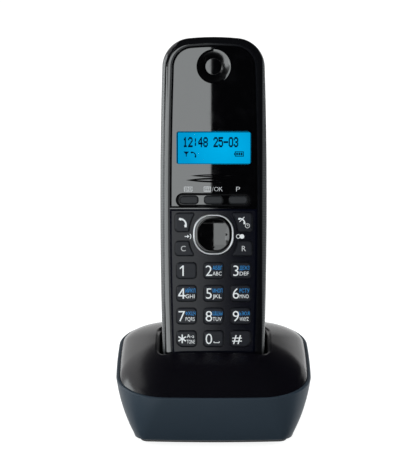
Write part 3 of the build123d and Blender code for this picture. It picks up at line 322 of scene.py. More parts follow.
def drawnMetal(name, colour, polish):
    material, tree, shader = newFinish(name)
    coords = objectCoords(tree)
    lines = noiseNode(tree, coords, metalNoise["scale"], metalNoise["detail"], metalNoise["roughness"])
    worn = tuple(c * metalNoise["worn"] for c in colour)
    tree.links.new(mixColour(tree, lines, worn, colour), shader.inputs["Base Color"])
    spread = mathNode(tree, "MULTIPLY", lines, polish * metalNoise["polishSpread"])
    rough = mathNode(tree, "ADD", spread, polish * metalNoise["polishLow"])
    tree.links.new(rough, shader.inputs["Roughness"])
    setShader(shader, Metallic=1.0)
    addBump(tree, shader, lines, metalNoise["depth"])
    return material


# Display: lit blue liquid crystal, brightest a little right of the middle
lcd = {
    "middle": (0.0, 0.425, 0.8), "edge": (0.0, 0.31, 0.62), "glow": 1.0, "aside": 5.0 * mm,
    "unlitMiddle": (0.0, 0.03, 0.06), "unlitEdge": (0.0, 0.02, 0.04), "polish": 0.5, "flat": 0.75, "falloff": 0.6,
}


def litCrystal():
    material, tree, shader = newFinish("litCrystal")
    low, high = faceSpan("lcd_cell")
    half = (high[0] - low[0]) / 2
    mapping = addNode(tree, "ShaderNodeMapping", vector_type="TEXTURE")
    mapping.inputs["Location"].default_value = onFace(*faceMiddle("lcd_cell")) + acrossAxis * lcd["aside"]
    mapping.inputs["Scale"].default_value = (half, half * lcd["flat"], half * lcd["flat"])
    tree.links.new(objectCoords(tree), mapping.inputs["Vector"])
    ball = addNode(tree, "ShaderNodeTexGradient", gradient_type="SPHERICAL")
    tree.links.new(mapping.outputs[0], ball.inputs["Vector"])
    guide = mathNode(tree, "POWER", ball.outputs["Fac"], lcd["falloff"])
    glow = mixColour(tree, guide, lcd["edge"], lcd["middle"])
    tree.links.new(glow, shader.inputs["Emission Color"])
    unlit = mixColour(tree, guide, lcd["unlitEdge"], lcd["unlitMiddle"])
    tree.links.new(unlit, shader.inputs["Base Color"])
    setShader(shader, Roughness=lcd["polish"], **{"Emission Strength": lcd["glow"], "Specular IOR Level": 0.0})
    return material


# Window over the display: its low index keeps reflections off the characters
window = {"tint": (0.97, 0.99, 1.0), "ior": 1.01}


def clearWindow():
    material, _, shader = newFinish("clearWindow")
    setShader(shader, Roughness=0.0, IOR=window["ior"])
    setShader(shader, **{"Transmission Weight": 1.0, "Base Color": (*window["tint"], 1)})
    return material


# Case plastic whose long edges carry the grip dots
caseGrip = {
    "tone": (0.08, 0.083, 0.086), "dotTone": 0.8, "bandTone": 0.25, "dulled": 0.2,
    "spread": 0.02, "grain": 0.02, "depth": 0.02 * mm,
}


def grippedCase(name, colour, polish):
    material, tree, shader = newFinish(name)
    skin = placeSkin(tree, colour, polish, caseGrip["spread"])
    grip = placeGroup(tree, gripDots)
    dots, band = grip.outputs["Height"], grip.outputs["Mask"]
    dotTone = mathNode(tree, "MULTIPLY", dots, caseGrip["dotTone"])
    tone = mathNode(tree, "ADD", dotTone, mathNode(tree, "MULTIPLY", band, caseGrip["bandTone"]))
    tree.links.new(mixColour(tree, tone, skin.outputs["Colour"], caseGrip["tone"]), shader.inputs["Base Color"])
    dulled = mathNode(tree, "MULTIPLY", band, caseGrip["dulled"])
    tree.links.new(mathNode(tree, "ADD", skin.outputs["Roughness"], dulled), shader.inputs["Roughness"])
    fine = mathNode(tree, "MULTIPLY", skin.outputs["Height"], caseGrip["grain"])
    addBump(tree, shader, mathNode(tree, "ADD", fine, dots), caseGrip["depth"])
    return material


# Finishes by the record's material slots
fineGrain, softGrain = 0.0006 * mm, 0.002 * mm
finishes = {
    "case_black": grippedCase("grippedCase", (0.003, 0.0031, 0.0038), 0.05),
    "body_slate": mouldedPlastic("slateBody", (0.0195, 0.0295, 0.041), 0.42, specular=0.25),
    "panel_gloss": polishedPlastic("glossPanel", (0.001, 0.001, 0.0013), 0.015, 0.035, dulled=dishSlope),
    "plate_satin": mouldedPlastic(
        "satinPlate", (0.0014, 0.0017, 0.0045), 0.11, 0.02, depth=fineGrain, specular=0.125
    ),
    "cover_black": mouldedPlastic("satinCover", (0.0022, 0.002, 0.0034), 0.24, 0.05, depth=softGrain),
    "key_black": mouldedPlastic("keyCap", (0.0125, 0.0135, 0.017), 0.14, 0.02, depth=fineGrain, specular=0.06),
    "navigator_gloss": polishedPlastic("glossNavigator", (0.001, 0.001, 0.0012), 0.05, 0.12, 1.42),
    "ring_silver": drawnMetal("silverRing", (0.48, 0.485, 0.5), 0.42),
    "window_clear": clearWindow(),
    "display_blue": litCrystal(),
    "light_white": mouldedPlastic("lightBox", (0.8, 0.81, 0.82), 0.5),
    "board_green": mouldedPlastic("solderMask", (0.02, 0.13, 0.05), 0.35, grain=900.0),
    "metal": drawnMetal("platedSteel", (0.62, 0.62, 0.6), 0.28),
    "gold_wire": drawnMetal("gildedWire", (0.83, 0.62, 0.28), 0.22),
    "capsule": drawnMetal("pressedCan", (0.55, 0.56, 0.57), 0.34),
    "soft_rubber": mouldedPlastic("softRubber", (0.014, 0.014, 0.015), 0.75, grain=1400.0, depth=0.02 * mm),
    "battery_sleeve": mouldedPlastic("cellSleeve", (0.05, 0.2, 0.09), 0.3),
    "inner_black": mouldedPlastic("innerBlack", (0.013, 0.013, 0.014), 0.5),
    "button_grey": mouldedPlastic("buttonGrey", (0.12, 0.13, 0.14), 0.4),
}
softKeyFinish = mouldedPlastic("softKeyCap", (0.017, 0.0182, 0.0203), 0.34, 0.05, depth=softGrain, specular=0.1)
for part in frame["record"]["subparts"]:
    isSoftKey = part["node"].startswith("soft_key")
    mesh = nodes[part["node"]].data
    mesh.materials.clear()
    mesh.materials.append(softKeyFinish if isSoftKey else finishes[part["material_slot"]])
print("finishes placed on", len(nodes), "nodes")


# Printed marks: flat shapes, each a list of points, laid on a face
ink = {
    "lift": 0.02 * mm, "step": 0.0015 * mm, "steps": 9, "polish": 0.55, "grain": 5000.0, "specular": 0.05,
    "white": (0.64, 0.66, 0.67), "pale": (0.46, 0.47, 0.48), "blue": (0.02, 0.2, 0.5),
    "night": (0.0, 0.018, 0.11), "dark": (0.002, 0.002, 0.0025),
}


def printInk(name, tone):
    return mouldedPlastic(name, ink[tone], ink["polish"], grain=ink["grain"], specular=ink["specular"])


inkWhite, inkPale, inkBlue = printInk("inkWhite", "white"), printInk("inkPale", "pale"), printInk("inkBlue", "blue")
inkNight, inkDark = printInk("inkNight", "night"), printInk("inkDark", "dark")


def disc(x, y, radius, count=28):
    return [[(x + radius * cos(2 * pi * i / count), y + radius * sin(2 * pi * i / count)) for i in range(count)]]


def box(x0, y0, x1, y1):
    return [[(x0, y0), (x1, y0), (x1, y1), (x0, y1)]]


def bar(x, y, halfX, halfY):
    return box(x - halfX, y - halfY, x + halfX, y + halfY)


def band(first, second):
    # faces between two outlines that have as many points
    return [[first[i - 1], first[i], second[i], second[i - 1]] for i in range(len(first))]


def arcPoints(x, y, radius, start, stop, count=16):
    steps = [radians(start + (stop - start) * i / count) for i in range(count + 1)]
    return [(x + radius * cos(a), y + radius * sin(a)) for a in steps]


mitreLimit = 0.4
ringEnd = 345  # degrees: a ring's last point lies just short of its first


def stroke(points, width, closed=False):
    # a ribbon of even width along a line, mitred at its corners
    ends = [Vector(p) for p in points]
    count = len(ends)
    left, right = [], []
    for i, point in enumerate(ends):
        before = ends[i - 1] if closed or i else point
        after = ends[(i + 1) % count] if closed or i < count - 1 else point
        run = ((after - point).normalized() + (point - before).normalized()).normalized()
        side = Vector((-run.y, run.x))
        first = (after - point).normalized() if after != point else (point - before).normalized()
        reach = width / 2 / max(mitreLimit, abs(side.dot(Vector((-first.y, first.x)))))
        left.append(tuple(point + side * reach))
        right.append(tuple(point - side * reach))
    ribbon = []
    for i in range(count if closed else count - 1):
        following = (i + 1) % count
        ribbon.append([right[i], right[following], left[following], left[i]])
    return ribbon


def ringMark(x, y, radius, line, count):
    return stroke(arcPoints(x, y, radius, 0, ringEnd, count), line, True)


def turned(shapes, degrees, x=0.0, y=0.0):
    c, s = cos(radians(degrees)), sin(radians(degrees))
    return [[(x + px * c - py * s, y + px * s + py * c) for px, py in shape] for shape in shapes]


def widthOf(shapes):
    places = [p[0] for shape in shapes for p in shape]
    return min(places), max(places)


# Lettering: strokes and gaps as parts of the capitals' height
font = {"curveSteps": 3, "line": 0.135, "thin": 0.11, "gap": 0.13}


def letterShapes(text, weight=0.0):
    # flat shapes of the built-in font at its own size
    curve = bpy.data.curves.new("lettering", "FONT")
    curve.body = text
    curve.offset = weight
    curve.resolution_u = font["curveSteps"]
    holder = bpy.data.objects.new("lettering", curve)
    bpy.context.collection.objects.link(holder)
    bpy.context.view_layer.update()
    mesh = bpy.data.meshes.new_from_object(holder.evaluated_get(bpy.context.evaluated_depsgraph_get()))
    points = [(v.co.x, v.co.y) for v in mesh.vertices]
    shapes = [[points[i] for i in polygon.vertices] for polygon in mesh.polygons]
    bpy.data.objects.remove(holder)
    bpy.data.meshes.remove(mesh)
    bpy.data.curves.remove(curve)
    return shapes


capitalHeight = max(p[1] for shape in letterShapes("H") for p in shape)


def ownGlyphs():
    # figures and letters that the built-in font draws too plainly or fills wrongly, drawn one unit high
    line, thin = font["line"], font["thin"]
    oval = [(0.42 + x * 1.35, 0.5 + y) for x, y in arcPoints(0, 0, 0.26, 0, ringEnd, 23)]
    loop = [(0.66 + x * 0.8, 0.5 + y) for x, y in arcPoints(0, 0, 0.45, 0, ringEnd, 23)]
    bow = [(x * 0.85, 0.5 + y) for x, y in arcPoints(0, 0, 0.44, 130, -130, 18)]
    belly = [(thin, 0.53)] + arcPoints(0.25, 0.292, 0.238, 90, -90, 10) + [(thin, thin / 2)]
    cup = [(thin / 2, 1), (thin / 2, 0.7)] + arcPoints(0.3, 0.7, 0.245, 190, 265, 6) + [(0.52, 0.455)]
    stem = box(0, 0, thin, 1)
    softSign = stem + stroke(belly, thin)
    low, high = (1 - thin) / 2, (1 + thin) / 2
    drawn = {
        "1": [
            [(0, 0), (line, 0), (line, 1), (line * 0.1, 1), (0, 1 - line * 0.2)],
            [(line * 0.1, 1), (-0.24, 0.77), (-0.24, 0.77 - line), (0, 1 - line * 1.2)],
        ],
        "4": box(0.42, 0, 0.42 + line, 1) + box(0, 0.22, 0.7, 0.22 + line) + [
            [(0, 0.22 + line), (line * 1.2, 0.22 + line), (0.42, 1 - line * 1.5), (0.42, 1)],
        ],
        "K": stem + [
            [(thin, 0.38), (0.66, 1), (0.52, 1), (thin, 0.52)],
            [(0.22, 0.52), (0.58, 0), (0.72, 0), (0.31, 0.62)],
        ],
        "Ч": stroke(cup, thin) + box(0.5, 0, 0.5 + thin, 1),
        "Ь": softSign,
        "Ъ": softSign + box(-0.18, 1 - thin, thin / 2, 1),
        "Ы": softSign + box(0.64, 0, 0.64 + thin, 1),
        "Ю": stem + box(thin / 2, low, 0.3, high) + stroke(loop, thin, True),
        "Ф": stroke(oval, thin, True) + box(0.42 - thin / 2, 0, 0.42 + thin / 2, 1),
        "Э": stroke(bow, thin) + box(-0.05, low, 0.34, high),
    }
    glyphs = {"Р": letterShapes("P"), "Х": letterShapes("X")}
    glyphs["Я"] = [[(-x, y) for x, y in shape] for shape in letterShapes("R")]
    for letter, shapes in drawn.items():
        glyphs[letter] = [[(x * capitalHeight, y * capitalHeight) for x, y in shape] for shape in shapes]
    return glyphs


drawnGlyphs = ownGlyphs()


def textShapes(text, weight):
    if not drawnGlyphs.keys() & set(text):
        return letterShapes(text, weight)
    shapes, x = [], 0.0
    for letter in text:
        glyph = drawnGlyphs.get(letter) or letterShapes(letter, weight)
        low, high = widthOf(glyph)
        shapes += [[(px - low + x, py) for px, py in shape] for shape in glyph]
        x += high - low + capitalHeight * font["gap"]
    return shapes


def lettering(text, height, x, y, width=None, weight=0.0, fromLeft=False):
    # letters of a given capital height, middle of the capitals at y
    shapes = textShapes(text, weight)
    low, high = widthOf(shapes)
    scaleY = height / capitalHeight
    scaleX = width / (high - low) if width else scaleY
    start = low if fromLeft else (low + high) / 2
    return [[(x + (px - start) * scaleX, y + (py - capitalHeight / 2) * scaleY) for px, py in s] for s in shapes]


def layInk(name, body, layers, place, facing=outAxis):
    # layers are (material, shapes); place takes a flat point into the shared frame
    points, faces, slots = [], [], []
    for index, (_, shapes) in enumerate(layers):
        for count, shape in enumerate(shapes):
            # neighbours lie a hair apart, so that overlapping strokes don't share a plane
            rise = facing * ink["step"] * (count % ink["steps"])
            faces.append(list(range(len(points), len(points) + len(shape))))
            points += [place(*p) + rise for p in shape]
            slots.append(index)
    mesh = bpy.data.meshes.new(name)
    mesh.from_pydata(points, [], faces)
    for material, _ in layers:
        mesh.materials.append(material)
    for polygon, slot in zip(mesh.polygons, slots):
        polygon.material_index = slot
        if polygon.normal.dot(facing) < 0:
            polygon.flip()
    piece = bpy.data.objects.new(name, mesh)
    bpy.context.collection.objects.link(piece)
    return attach(piece, body)


def onCap(node):
    x, along, out = capMiddle(node)
    return lambda px, py: onFace(x + px, along + py, out + ink["lift"])


def onPanel(top):
    return lambda px, py: onFace(px, py, top + ink["lift"])


def markKey(name, *layers):
    node = "key_" + name
    layInk("legend_" + name, node, layers, onCap(node))


# Dialling keys: numeral at the left, two short rows of letters at the right
dialInk = {
    "numeral": 4.8 * mm, "numeralX": -2.15 * mm, "weight": -0.006, "letters": 1.7 * mm, "letterX": -0.45 * mm,
    "blueWidth": 4.5 * mm, "whiteWidth": 4.15 * mm, "upperY": 1.3 * mm, "lowerY": -1.3 * mm,
}
dialLetters = {
    "1": ("", ""), "2": ("АБВГ", "ABC"), "3": ("ДЕЖЗ", "DEF"), "4": ("ИЙКЛ", "GHI"), "5": ("МНОП", "JKL"),
    "6": ("РСТУ", "MNO"), "7": ("ФХЦЧ", "PQRS"), "8": ("ШЩЪЫ", "TUV"), "9": ("ЬЭЮЯ", "WXYZ"),
}


def numeralShapes(numeral):
    return lettering(numeral, dialInk["numeral"], dialInk["numeralX"], 0, weight=dialInk["weight"])


def letterRow(text, x, y, width):
    return lettering(text, dialInk["letters"], x, y, width, fromLeft=True)


for numeral, (upper, lower) in dialLetters.items():
    layers = [(inkWhite, numeralShapes(numeral))]
    if upper:
        layers.append((inkBlue, letterRow(upper, dialInk["letterX"], dialInk["upperY"], dialInk["blueWidth"])))
        layers.append((inkWhite, letterRow(lower, dialInk["letterX"], dialInk["lowerY"], dialInk["whiteWidth"])))
    markKey(numeral, *layers)

# Bottom row: nought with a space sign, star with two words, hash
signInk = {
    "spaceX": 0.2 * mm, "spaceY": -1.75 * mm, "spaceWidth": 2.4 * mm, "spaceHeight": 0.6 * mm, "spaceLine": 0.28 * mm,
    "starX": -2.0 * mm, "starReach": 2.0 * mm, "starLine": 0.55 * mm, "starTurns": (90, 30, 150),
    "wordX": 0.1 * mm, "upperWidth": 3.4 * mm, "lowerWidth": 3.7 * mm,
    "hash": 4.0 * mm, "hashX": -1.6 * mm, "hashY": 0.1 * mm, "hashWidth": 4.4 * mm,
}


def spaceMark():
    left, low = signInk["spaceX"], signInk["spaceY"]
    right, high = left + signInk["spaceWidth"], low + signInk["spaceHeight"]
    return stroke([(left, high), (left, low), (right, low), (right, high)], signInk["spaceLine"])


def starMark():
    arm = bar(0, 0, signInk["starReach"], signInk["starLine"] / 2)
    return [shape for degrees in signInk["starTurns"] for shape in turned(arm, degrees, signInk["starX"])]


markKey("0", (inkWhite, numeralShapes("0")), (inkWhite, spaceMark()))
markKey(
    "star",
    (inkWhite, starMark()),
    (inkWhite, letterRow("A-a", signInk["wordX"], dialInk["upperY"], signInk["upperWidth"])),
    (inkWhite, letterRow("TONE", signInk["wordX"], dialInk["lowerY"], signInk["lowerWidth"])),
)
hashMark = lettering("#", signInk["hash"], signInk["hashX"], signInk["hashY"], signInk["hashWidth"])
markKey("hash", (inkWhite, hashMark))
print("dialling keys marked")


# A telephone receiver seen from its side, lying along x, in parts of its size
receiver = {
    "bowY": -0.72, "bowRadius": 0.86, "bowFrom": 138, "bowTo": 42, "bowSteps": 14, "bowLine": 0.2,
    "earX": 0.56, "earY": -0.16, "earTurn": -35, "earHalfX": 0.17, "earHalfY": 0.15,
}


def receiverMark(size):
    sized = {key: size * value for key, value in receiver.items()}
    bowRun = receiver["bowFrom"], receiver["bowTo"], receiver["bowSteps"]
    shapes = stroke(arcPoints(0, sized["bowY"], sized["bowRadius"], *bowRun), sized["bowLine"])
    ear = bar(0, 0, sized["earHalfX"], sized["earHalfY"])
    for side in (-1, 1):
        shapes += turned(ear, side * receiver["earTurn"], side * sized["earX"], sized["earY"])
    return shapes


# Side keys: receiver, crossed receiver with a clock, and two letters
sideInk = {
    "talk": 3.5 * mm, "talkTurn": -52, "talkX": -0.4 * mm, "talkY": 0.3 * mm,
    "off": 2.7 * mm, "offTurn": -40, "offY": 1.0 * mm,
    "slash": [(-1.3 * mm, 0.3 * mm), (0.9 * mm, 2.5 * mm)], "slashLine": 0.34 * mm,
    "clock": 1.0 * mm, "clockX": 2.3 * mm, "clockY": -1.5 * mm, "clockLine": 0.26 * mm, "clockSteps": 22,
    "hands": [(0, 0.62 * mm), (0, 0), (0.42 * mm, 0)], "handLine": 0.208 * mm,
    "letter": 2.4 * mm, "letterAside": 0.6 * mm,
}
talkMark = turned(receiverMark(sideInk["talk"]), sideInk["talkTurn"], sideInk["talkX"], sideInk["talkY"])
markKey("talk", (inkWhite, talkMark))
clock = ringMark(0, 0, sideInk["clock"], sideInk["clockLine"], sideInk["clockSteps"])
clock += stroke(sideInk["hands"], sideInk["handLine"])
markKey(
    "off",
    (inkWhite, turned(receiverMark(sideInk["off"]), sideInk["offTurn"], 0.0, sideInk["offY"])),
    (inkWhite, stroke(sideInk["slash"], sideInk["slashLine"])),
    (inkPale, turned(clock, 0, sideInk["clockX"], sideInk["clockY"])),
)
for name, letter, side in (("clear", "C", -1), ("recall", "R", 1)):
    markKey(name, (inkPale, lettering(letter, sideInk["letter"], side * sideInk["letterAside"], 0)))
print("side keys marked")


# Keypad plate: a redial sign and a mute sign beside the navigator
navigatorAlong = faceMiddle("navigator_ring")[1]
plateInk = {
    "redialX": -11.7 * mm, "muteX": 12.1 * mm, "below": 0.9 * mm,
    "shaft": [(-1.5 * mm, 0), (0.2 * mm, 0)], "shaftLine": 0.4 * mm,
    "head": [(-0.35 * mm, 0.75 * mm), (-0.35 * mm, -0.75 * mm), (0.6 * mm, 0)],
    "bowX": -0.4 * mm, "bowRadius": 1.7 * mm, "bowTurn": 42, "bowLine": 0.336 * mm,
    "ringX": -0.8 * mm, "ring": 0.85 * mm, "ringLine": 0.28 * mm, "ringSteps": 24, "dotX": 0.9 * mm, "dot": 1.05 * mm,
}
plateY = navigatorAlong - plateInk["below"]
redialBow = arcPoints(plateInk["bowX"], 0, plateInk["bowRadius"], -plateInk["bowTurn"], plateInk["bowTurn"])
redialMark = stroke(plateInk["shaft"], plateInk["shaftLine"]) + [plateInk["head"]]
redialMark += stroke(redialBow, plateInk["bowLine"])
muteMark = ringMark(plateInk["ringX"], 0, plateInk["ring"], plateInk["ringLine"], plateInk["ringSteps"])
muteMark += disc(plateInk["dotX"], 0, plateInk["dot"])
plateMarks = turned(redialMark, 0, plateInk["redialX"], plateY) + turned(muteMark, 0, plateInk["muteX"], plateY)
layInk("legend_plate", "handset", [(inkWhite, plateMarks)], onPanel(faceTop("keypad_plate")))

# Upper panel: a book, a menu, OK and P above the soft keys
panelInk = {
    "above": 5.0 * mm, "line": 0.28 * mm, "weight": -0.012,
    "bookX": -11.6 * mm, "pageX": 1.75 * mm, "pageY": 0.95 * mm, "pageLine": (0.4 * mm, 0.12 * mm),
    "pageColumns": (-0.9 * mm, 0.9 * mm), "pageRows": (-0.3 * mm, 0.3 * mm),
    "menuX": -2.85 * mm, "menuHalf": (1.5 * mm, 1.0 * mm), "menuLine": (0.45 * mm, 0.18 * mm),
    "menuColumns": (-0.55 * mm, 0.5 * mm), "menuRows": (-0.42 * mm, 0.42 * mm),
    "okX": 1.65 * mm, "okHeight": 1.9 * mm, "okWidth": 4.8 * mm,
    "pauseX": 11.2 * mm, "pauseHeight": 2.1 * mm, "pauseWidth": 1.75 * mm,
}
panelTop = faceTop("upper_panel")
softAlong = capMiddle("soft_key_middle")[1]
softY = softAlong + panelInk["above"]
rightPage = box(0, -panelInk["pageY"], panelInk["pageX"], panelInk["pageY"])[0]
leftPage = [(-x, y) for x, y in rightPage]
book = stroke(rightPage, panelInk["line"], True) + stroke(leftPage, panelInk["line"], True)
for column in panelInk["pageColumns"]:
    for row in panelInk["pageRows"]:
        book += bar(column, row, *panelInk["pageLine"])
menu = stroke(bar(0, 0, *panelInk["menuHalf"])[0], panelInk["line"], True)
for row in panelInk["menuRows"]:
    for column in panelInk["menuColumns"]:
        menu += bar(column, row, *panelInk["menuLine"])
softMarks = turned(book, 0, panelInk["bookX"], softY) + turned(menu, 0, panelInk["menuX"], softY)
for text, key in (("/OK", "ok"), ("P", "pause")):
    x, height, width = panelInk[key + "X"], panelInk[key + "Height"], panelInk[key + "Width"]
    softMarks += lettering(text, height, x, softY, width, panelInk["weight"])
layInk("legend_panel", "handset", [(inkPale, softMarks)], onPanel(panelTop))

# Painted shade: a matt black band on the floor of the soft key recess, round its edge, where the recess walls shade
# the floor; outlines by half width, half height and corner radius
recess = {
    "outer": (16.8 * mm, 2.7 * mm, 2.68 * mm), "inner": (15.85 * mm, 2.1 * mm, 1.6 * mm),
    "depth": 0.6 * mm, "cornerSteps": 8,
}


def roundedOutline(halfX, halfY, radius):
    points = []
    for start, signX, signY in ((0, 1, 1), (90, -1, 1), (180, -1, -1), (270, 1, -1)):
        x, y = signX * (halfX - radius), signY * (halfY - radius)
        points += arcPoints(x, y, radius, start, start + 90, recess["cornerSteps"])
    return points


# painted shade round the edge of the recess floor
recessShade = band(roundedOutline(*recess["outer"]), roundedOutline(*recess["inner"]))
recessShadeLayer = (inkDark, turned(recessShade, 0, 0, softAlong))
layInk("recess_painted_shade", "handset", [recessShadeLayer], onPanel(panelTop - recess["depth"]))

# Painted shade: a satin black band on the rim of the front case, round both panels, standing in for the shadowed
# groove between the panels and the case
grooveShade = {
    "near": 0.1 * mm, "far": 0.85 * mm, "colour": (0.0014, 0.0017, 0.003),
    "polish": 0.12, "spread": 0.02, "specular": 0.1,
}


def panelOutline(reach):
    # what both panels cover, grown by this reach
    spots = [p[:2] for name in ("upper_panel", "keypad_plate") for p in facePoints(name)]
    corners = [Vector(spots[i]) for i in convex_hull_2d(spots)]
    grown = []
    for before, here, after in zip(corners[-1:] + corners, corners, corners[1:] + corners[:1]):
        along = (here - before).normalized() + (after - here).normalized()
        outwards = Vector((along.y, -along.x)).normalized()
        grown.append(tuple(here + outwards * reach))
    return grown


grooveShadeFinish = mouldedPlastic(
    "satinGrooveShade", grooveShade["colour"], grooveShade["polish"], grooveShade["spread"], depth=fineGrain, specular=grooveShade["specular"]
)
# painted groove shade, between the two grown outlines
grooveShadeBand = band(panelOutline(grooveShade["near"]), panelOutline(grooveShade["far"]))
layInk("panel_groove_shade", "handset", [(grooveShadeFinish, grooveShadeBand)], onPanel(faceTop("handset_front_case")))
print("panels marked")


# Navigator: four arrows that follow the dish of the key
dish = {
    "depth": 0.8 * mm, "radius": 7.5 * mm, "floorRadius": 3.0 * mm, "skin": 1.2 * mm, "lift": 0.04 * mm,
    "arrowAt": 5.9 * mm, "arrowHalf": 0.75 * mm, "arrowFoot": 0.5, "arrowTip": 0.75,
}


def onDish(node):
    top = faceTop(node)
    shown = [(x, along - navigatorAlong, out) for x, along, out in facePoints(node) if out > top - dish["skin"]]
    floor = min(out for x, y, out in shown if x ** 2 + y ** 2 < dish["floorRadius"] ** 2)
    bend = dish["depth"] / dish["radius"] ** 2
    return lambda px, py: onFace(px, navigatorAlong + py, floor + bend * (px * px + py * py) + dish["lift"])


arrowHalf = dish["arrowHalf"]
arrowFoot = dish["arrowAt"] - arrowHalf * dish["arrowFoot"]
arrowTip = dish["arrowAt"] + arrowHalf * dish["arrowTip"]
arrowHead = [[(-arrowHalf, arrowFoot), (arrowHalf, arrowFoot), (0, arrowTip)]]
arrows = [shape for degrees in (0, 90, 180, 270) for shape in turned(arrowHead, degrees)]
layInk("legend_navigator", "navigator_key", [(inkDark, arrows)], onDish("navigator_key"))
print("navigator marked")


# Display characters: a five by seven dot matrix, a clock and a date, with three signs under them
dotGlyphs = {
    "0": "01110 10001 10001 10001 10001 10001 01110", "1": "00100 01100 00100 00100 00100 00100 01110",
    "2": "01110 10001 00001 00010 00100 01000 11111", "3": "01110 10001 00001 00110 00001 10001 01110",
    "4": "00010 00110 01010 10010 11111 00010 00010", "5": "11111 10000 11110 00001 00001 10001 01110",
    "8": "01110 10001 10001 01110 10001 10001 01110", ":": "00000 00100 00100 00000 00100 00100 00000",
    "-": "00000 00000 00000 11111 00000 00000 00000", " ": "00000 00000 00000 00000 00000 00000 00000",
}
lcdInk = {
    "text": "12:48 25-03", "left": -14.0 * mm, "base": 0.2 * mm,
    "dotX": 0.387 * mm, "dotY": 0.63 * mm, "fill": 1.4, "pitch": 6.0, "lastRow": 6,
    "signY": -2.9 * mm, "antennaX": -12.5 * mm, "receiverX": -8.9 * mm, "batteryX": 11.8 * mm,
    "antennaCup": [(-1.3 * mm, 1.1 * mm), (0, -0.3 * mm), (1.3 * mm, 1.1 * mm)],
    "antennaMast": (-0.2 * mm, -1.2 * mm, 0.2 * mm, 0.2 * mm), "receiver": 2.3 * mm, "receiverTurn": -48,
    "shadeLeft": 0.5 * mm, "shadeTop": 0.42 * mm, "shadeRest": 0.15 * mm,
}
battery = {
    "halfX": 1.85 * mm, "halfY": 1.0 * mm, "line": 0.34 * mm, "knobX": 0.5 * mm, "knobHalfY": 0.5 * mm,
    "cellPitch": 1.036 * mm, "cellHalf": (0.37 * mm, 0.56 * mm),
}


def dotText(text, x, y):
    shapes = []
    dotX, dotY, fill = lcdInk["dotX"], lcdInk["dotY"], lcdInk["fill"]
    for place, character in enumerate(text):
        for row, cells in enumerate(dotGlyphs[character].split()):
            for column, cell in enumerate(cells):
                if cell == "1":
                    left = x + (place * lcdInk["pitch"] + column) * dotX
                    low = y + (lcdInk["lastRow"] - row) * dotY
                    shapes += box(left, low, left + dotX * fill, low + dotY * fill)
    return shapes


def batterySign():
    left, knobHalf = -battery["halfX"], battery["knobHalfY"]
    shapes = stroke(bar(0, 0, battery["halfX"], battery["halfY"])[0], battery["line"], True)
    shapes += box(left - battery["knobX"], -knobHalf, left, knobHalf)
    for step in (-1, 0, 1):
        shapes += bar(step * battery["cellPitch"], 0, *battery["cellHalf"])
    return shapes


def glassShade(halfX, halfY):
    # painted shadow: dark edges laid on the display, wider at the left and the top, where the window's recessed edge
    # shades it
    rest = lcdInk["shadeRest"]
    shapes = box(-halfX, -halfY, -halfX + lcdInk["shadeLeft"], halfY)
    shapes += box(-halfX, halfY - lcdInk["shadeTop"], halfX, halfY)
    return shapes + box(halfX - rest, -halfY, halfX, halfY) + box(-halfX, -halfY, halfX, -halfY + rest)


windowLow, windowHigh = faceSpan("display_window")
windowX, windowY, _ = faceMiddle("display_window")
lcdTop = faceTop("lcd_cell")
antenna = [lcdInk["antennaCup"]] + box(*lcdInk["antennaMast"])
signs = dotText(lcdInk["text"], lcdInk["left"], lcdInk["base"])
signs += turned(antenna, 0, lcdInk["antennaX"], lcdInk["signY"])
signs += turned(receiverMark(lcdInk["receiver"]), lcdInk["receiverTurn"], lcdInk["receiverX"], lcdInk["signY"])
signs += turned(batterySign(), 0, lcdInk["batteryX"], lcdInk["signY"])
# painted shadow round the edge of the display window
shade = glassShade((windowHigh[0] - windowLow[0]) / 2, (windowHigh[1] - windowLow[1]) / 2)


def onDisplay(px, py):
    return onFace(windowX + px, windowY + py, lcdTop + ink["lift"])


layInk("display_signs", "handset", [(inkNight, signs), (inkDark, shade)], onDisplay)
print("display written")


# Painted shade: flat dark crosses under the four screws of the base, standing in for their shadowed cross recesses
screwInk = {"reach": 1.45 * mm, "line": 0.55 * mm, "turns": (20, 110)}
screwPoints = [v.co for v in nodes["base_screws"].data.vertices]
screwFoot = min(p.z for p in screwPoints)
screwSlot = bar(0, 0, screwInk["reach"], screwInk["line"] / 2)
crossShades = []
for signX in (-1, 1):
    for signY in (-1, 1):
        head = [p for p in screwPoints if p.x * signX > 0 and p.y * signY > 0]
        middle = [(min(p[axis] for p in head) + max(p[axis] for p in head)) / 2 for axis in (0, 1)]
        for turn in screwInk["turns"]:
            crossShades += turned(screwSlot, turn, *middle)


def underScrews(px, py):
    return Vector((px, py, screwFoot - ink["lift"]))


layInk("screw_recess_shade", "base", [(inkDark, crossShades)], underScrews, Vector((0, 0, -1)))
print("screw heads marked")


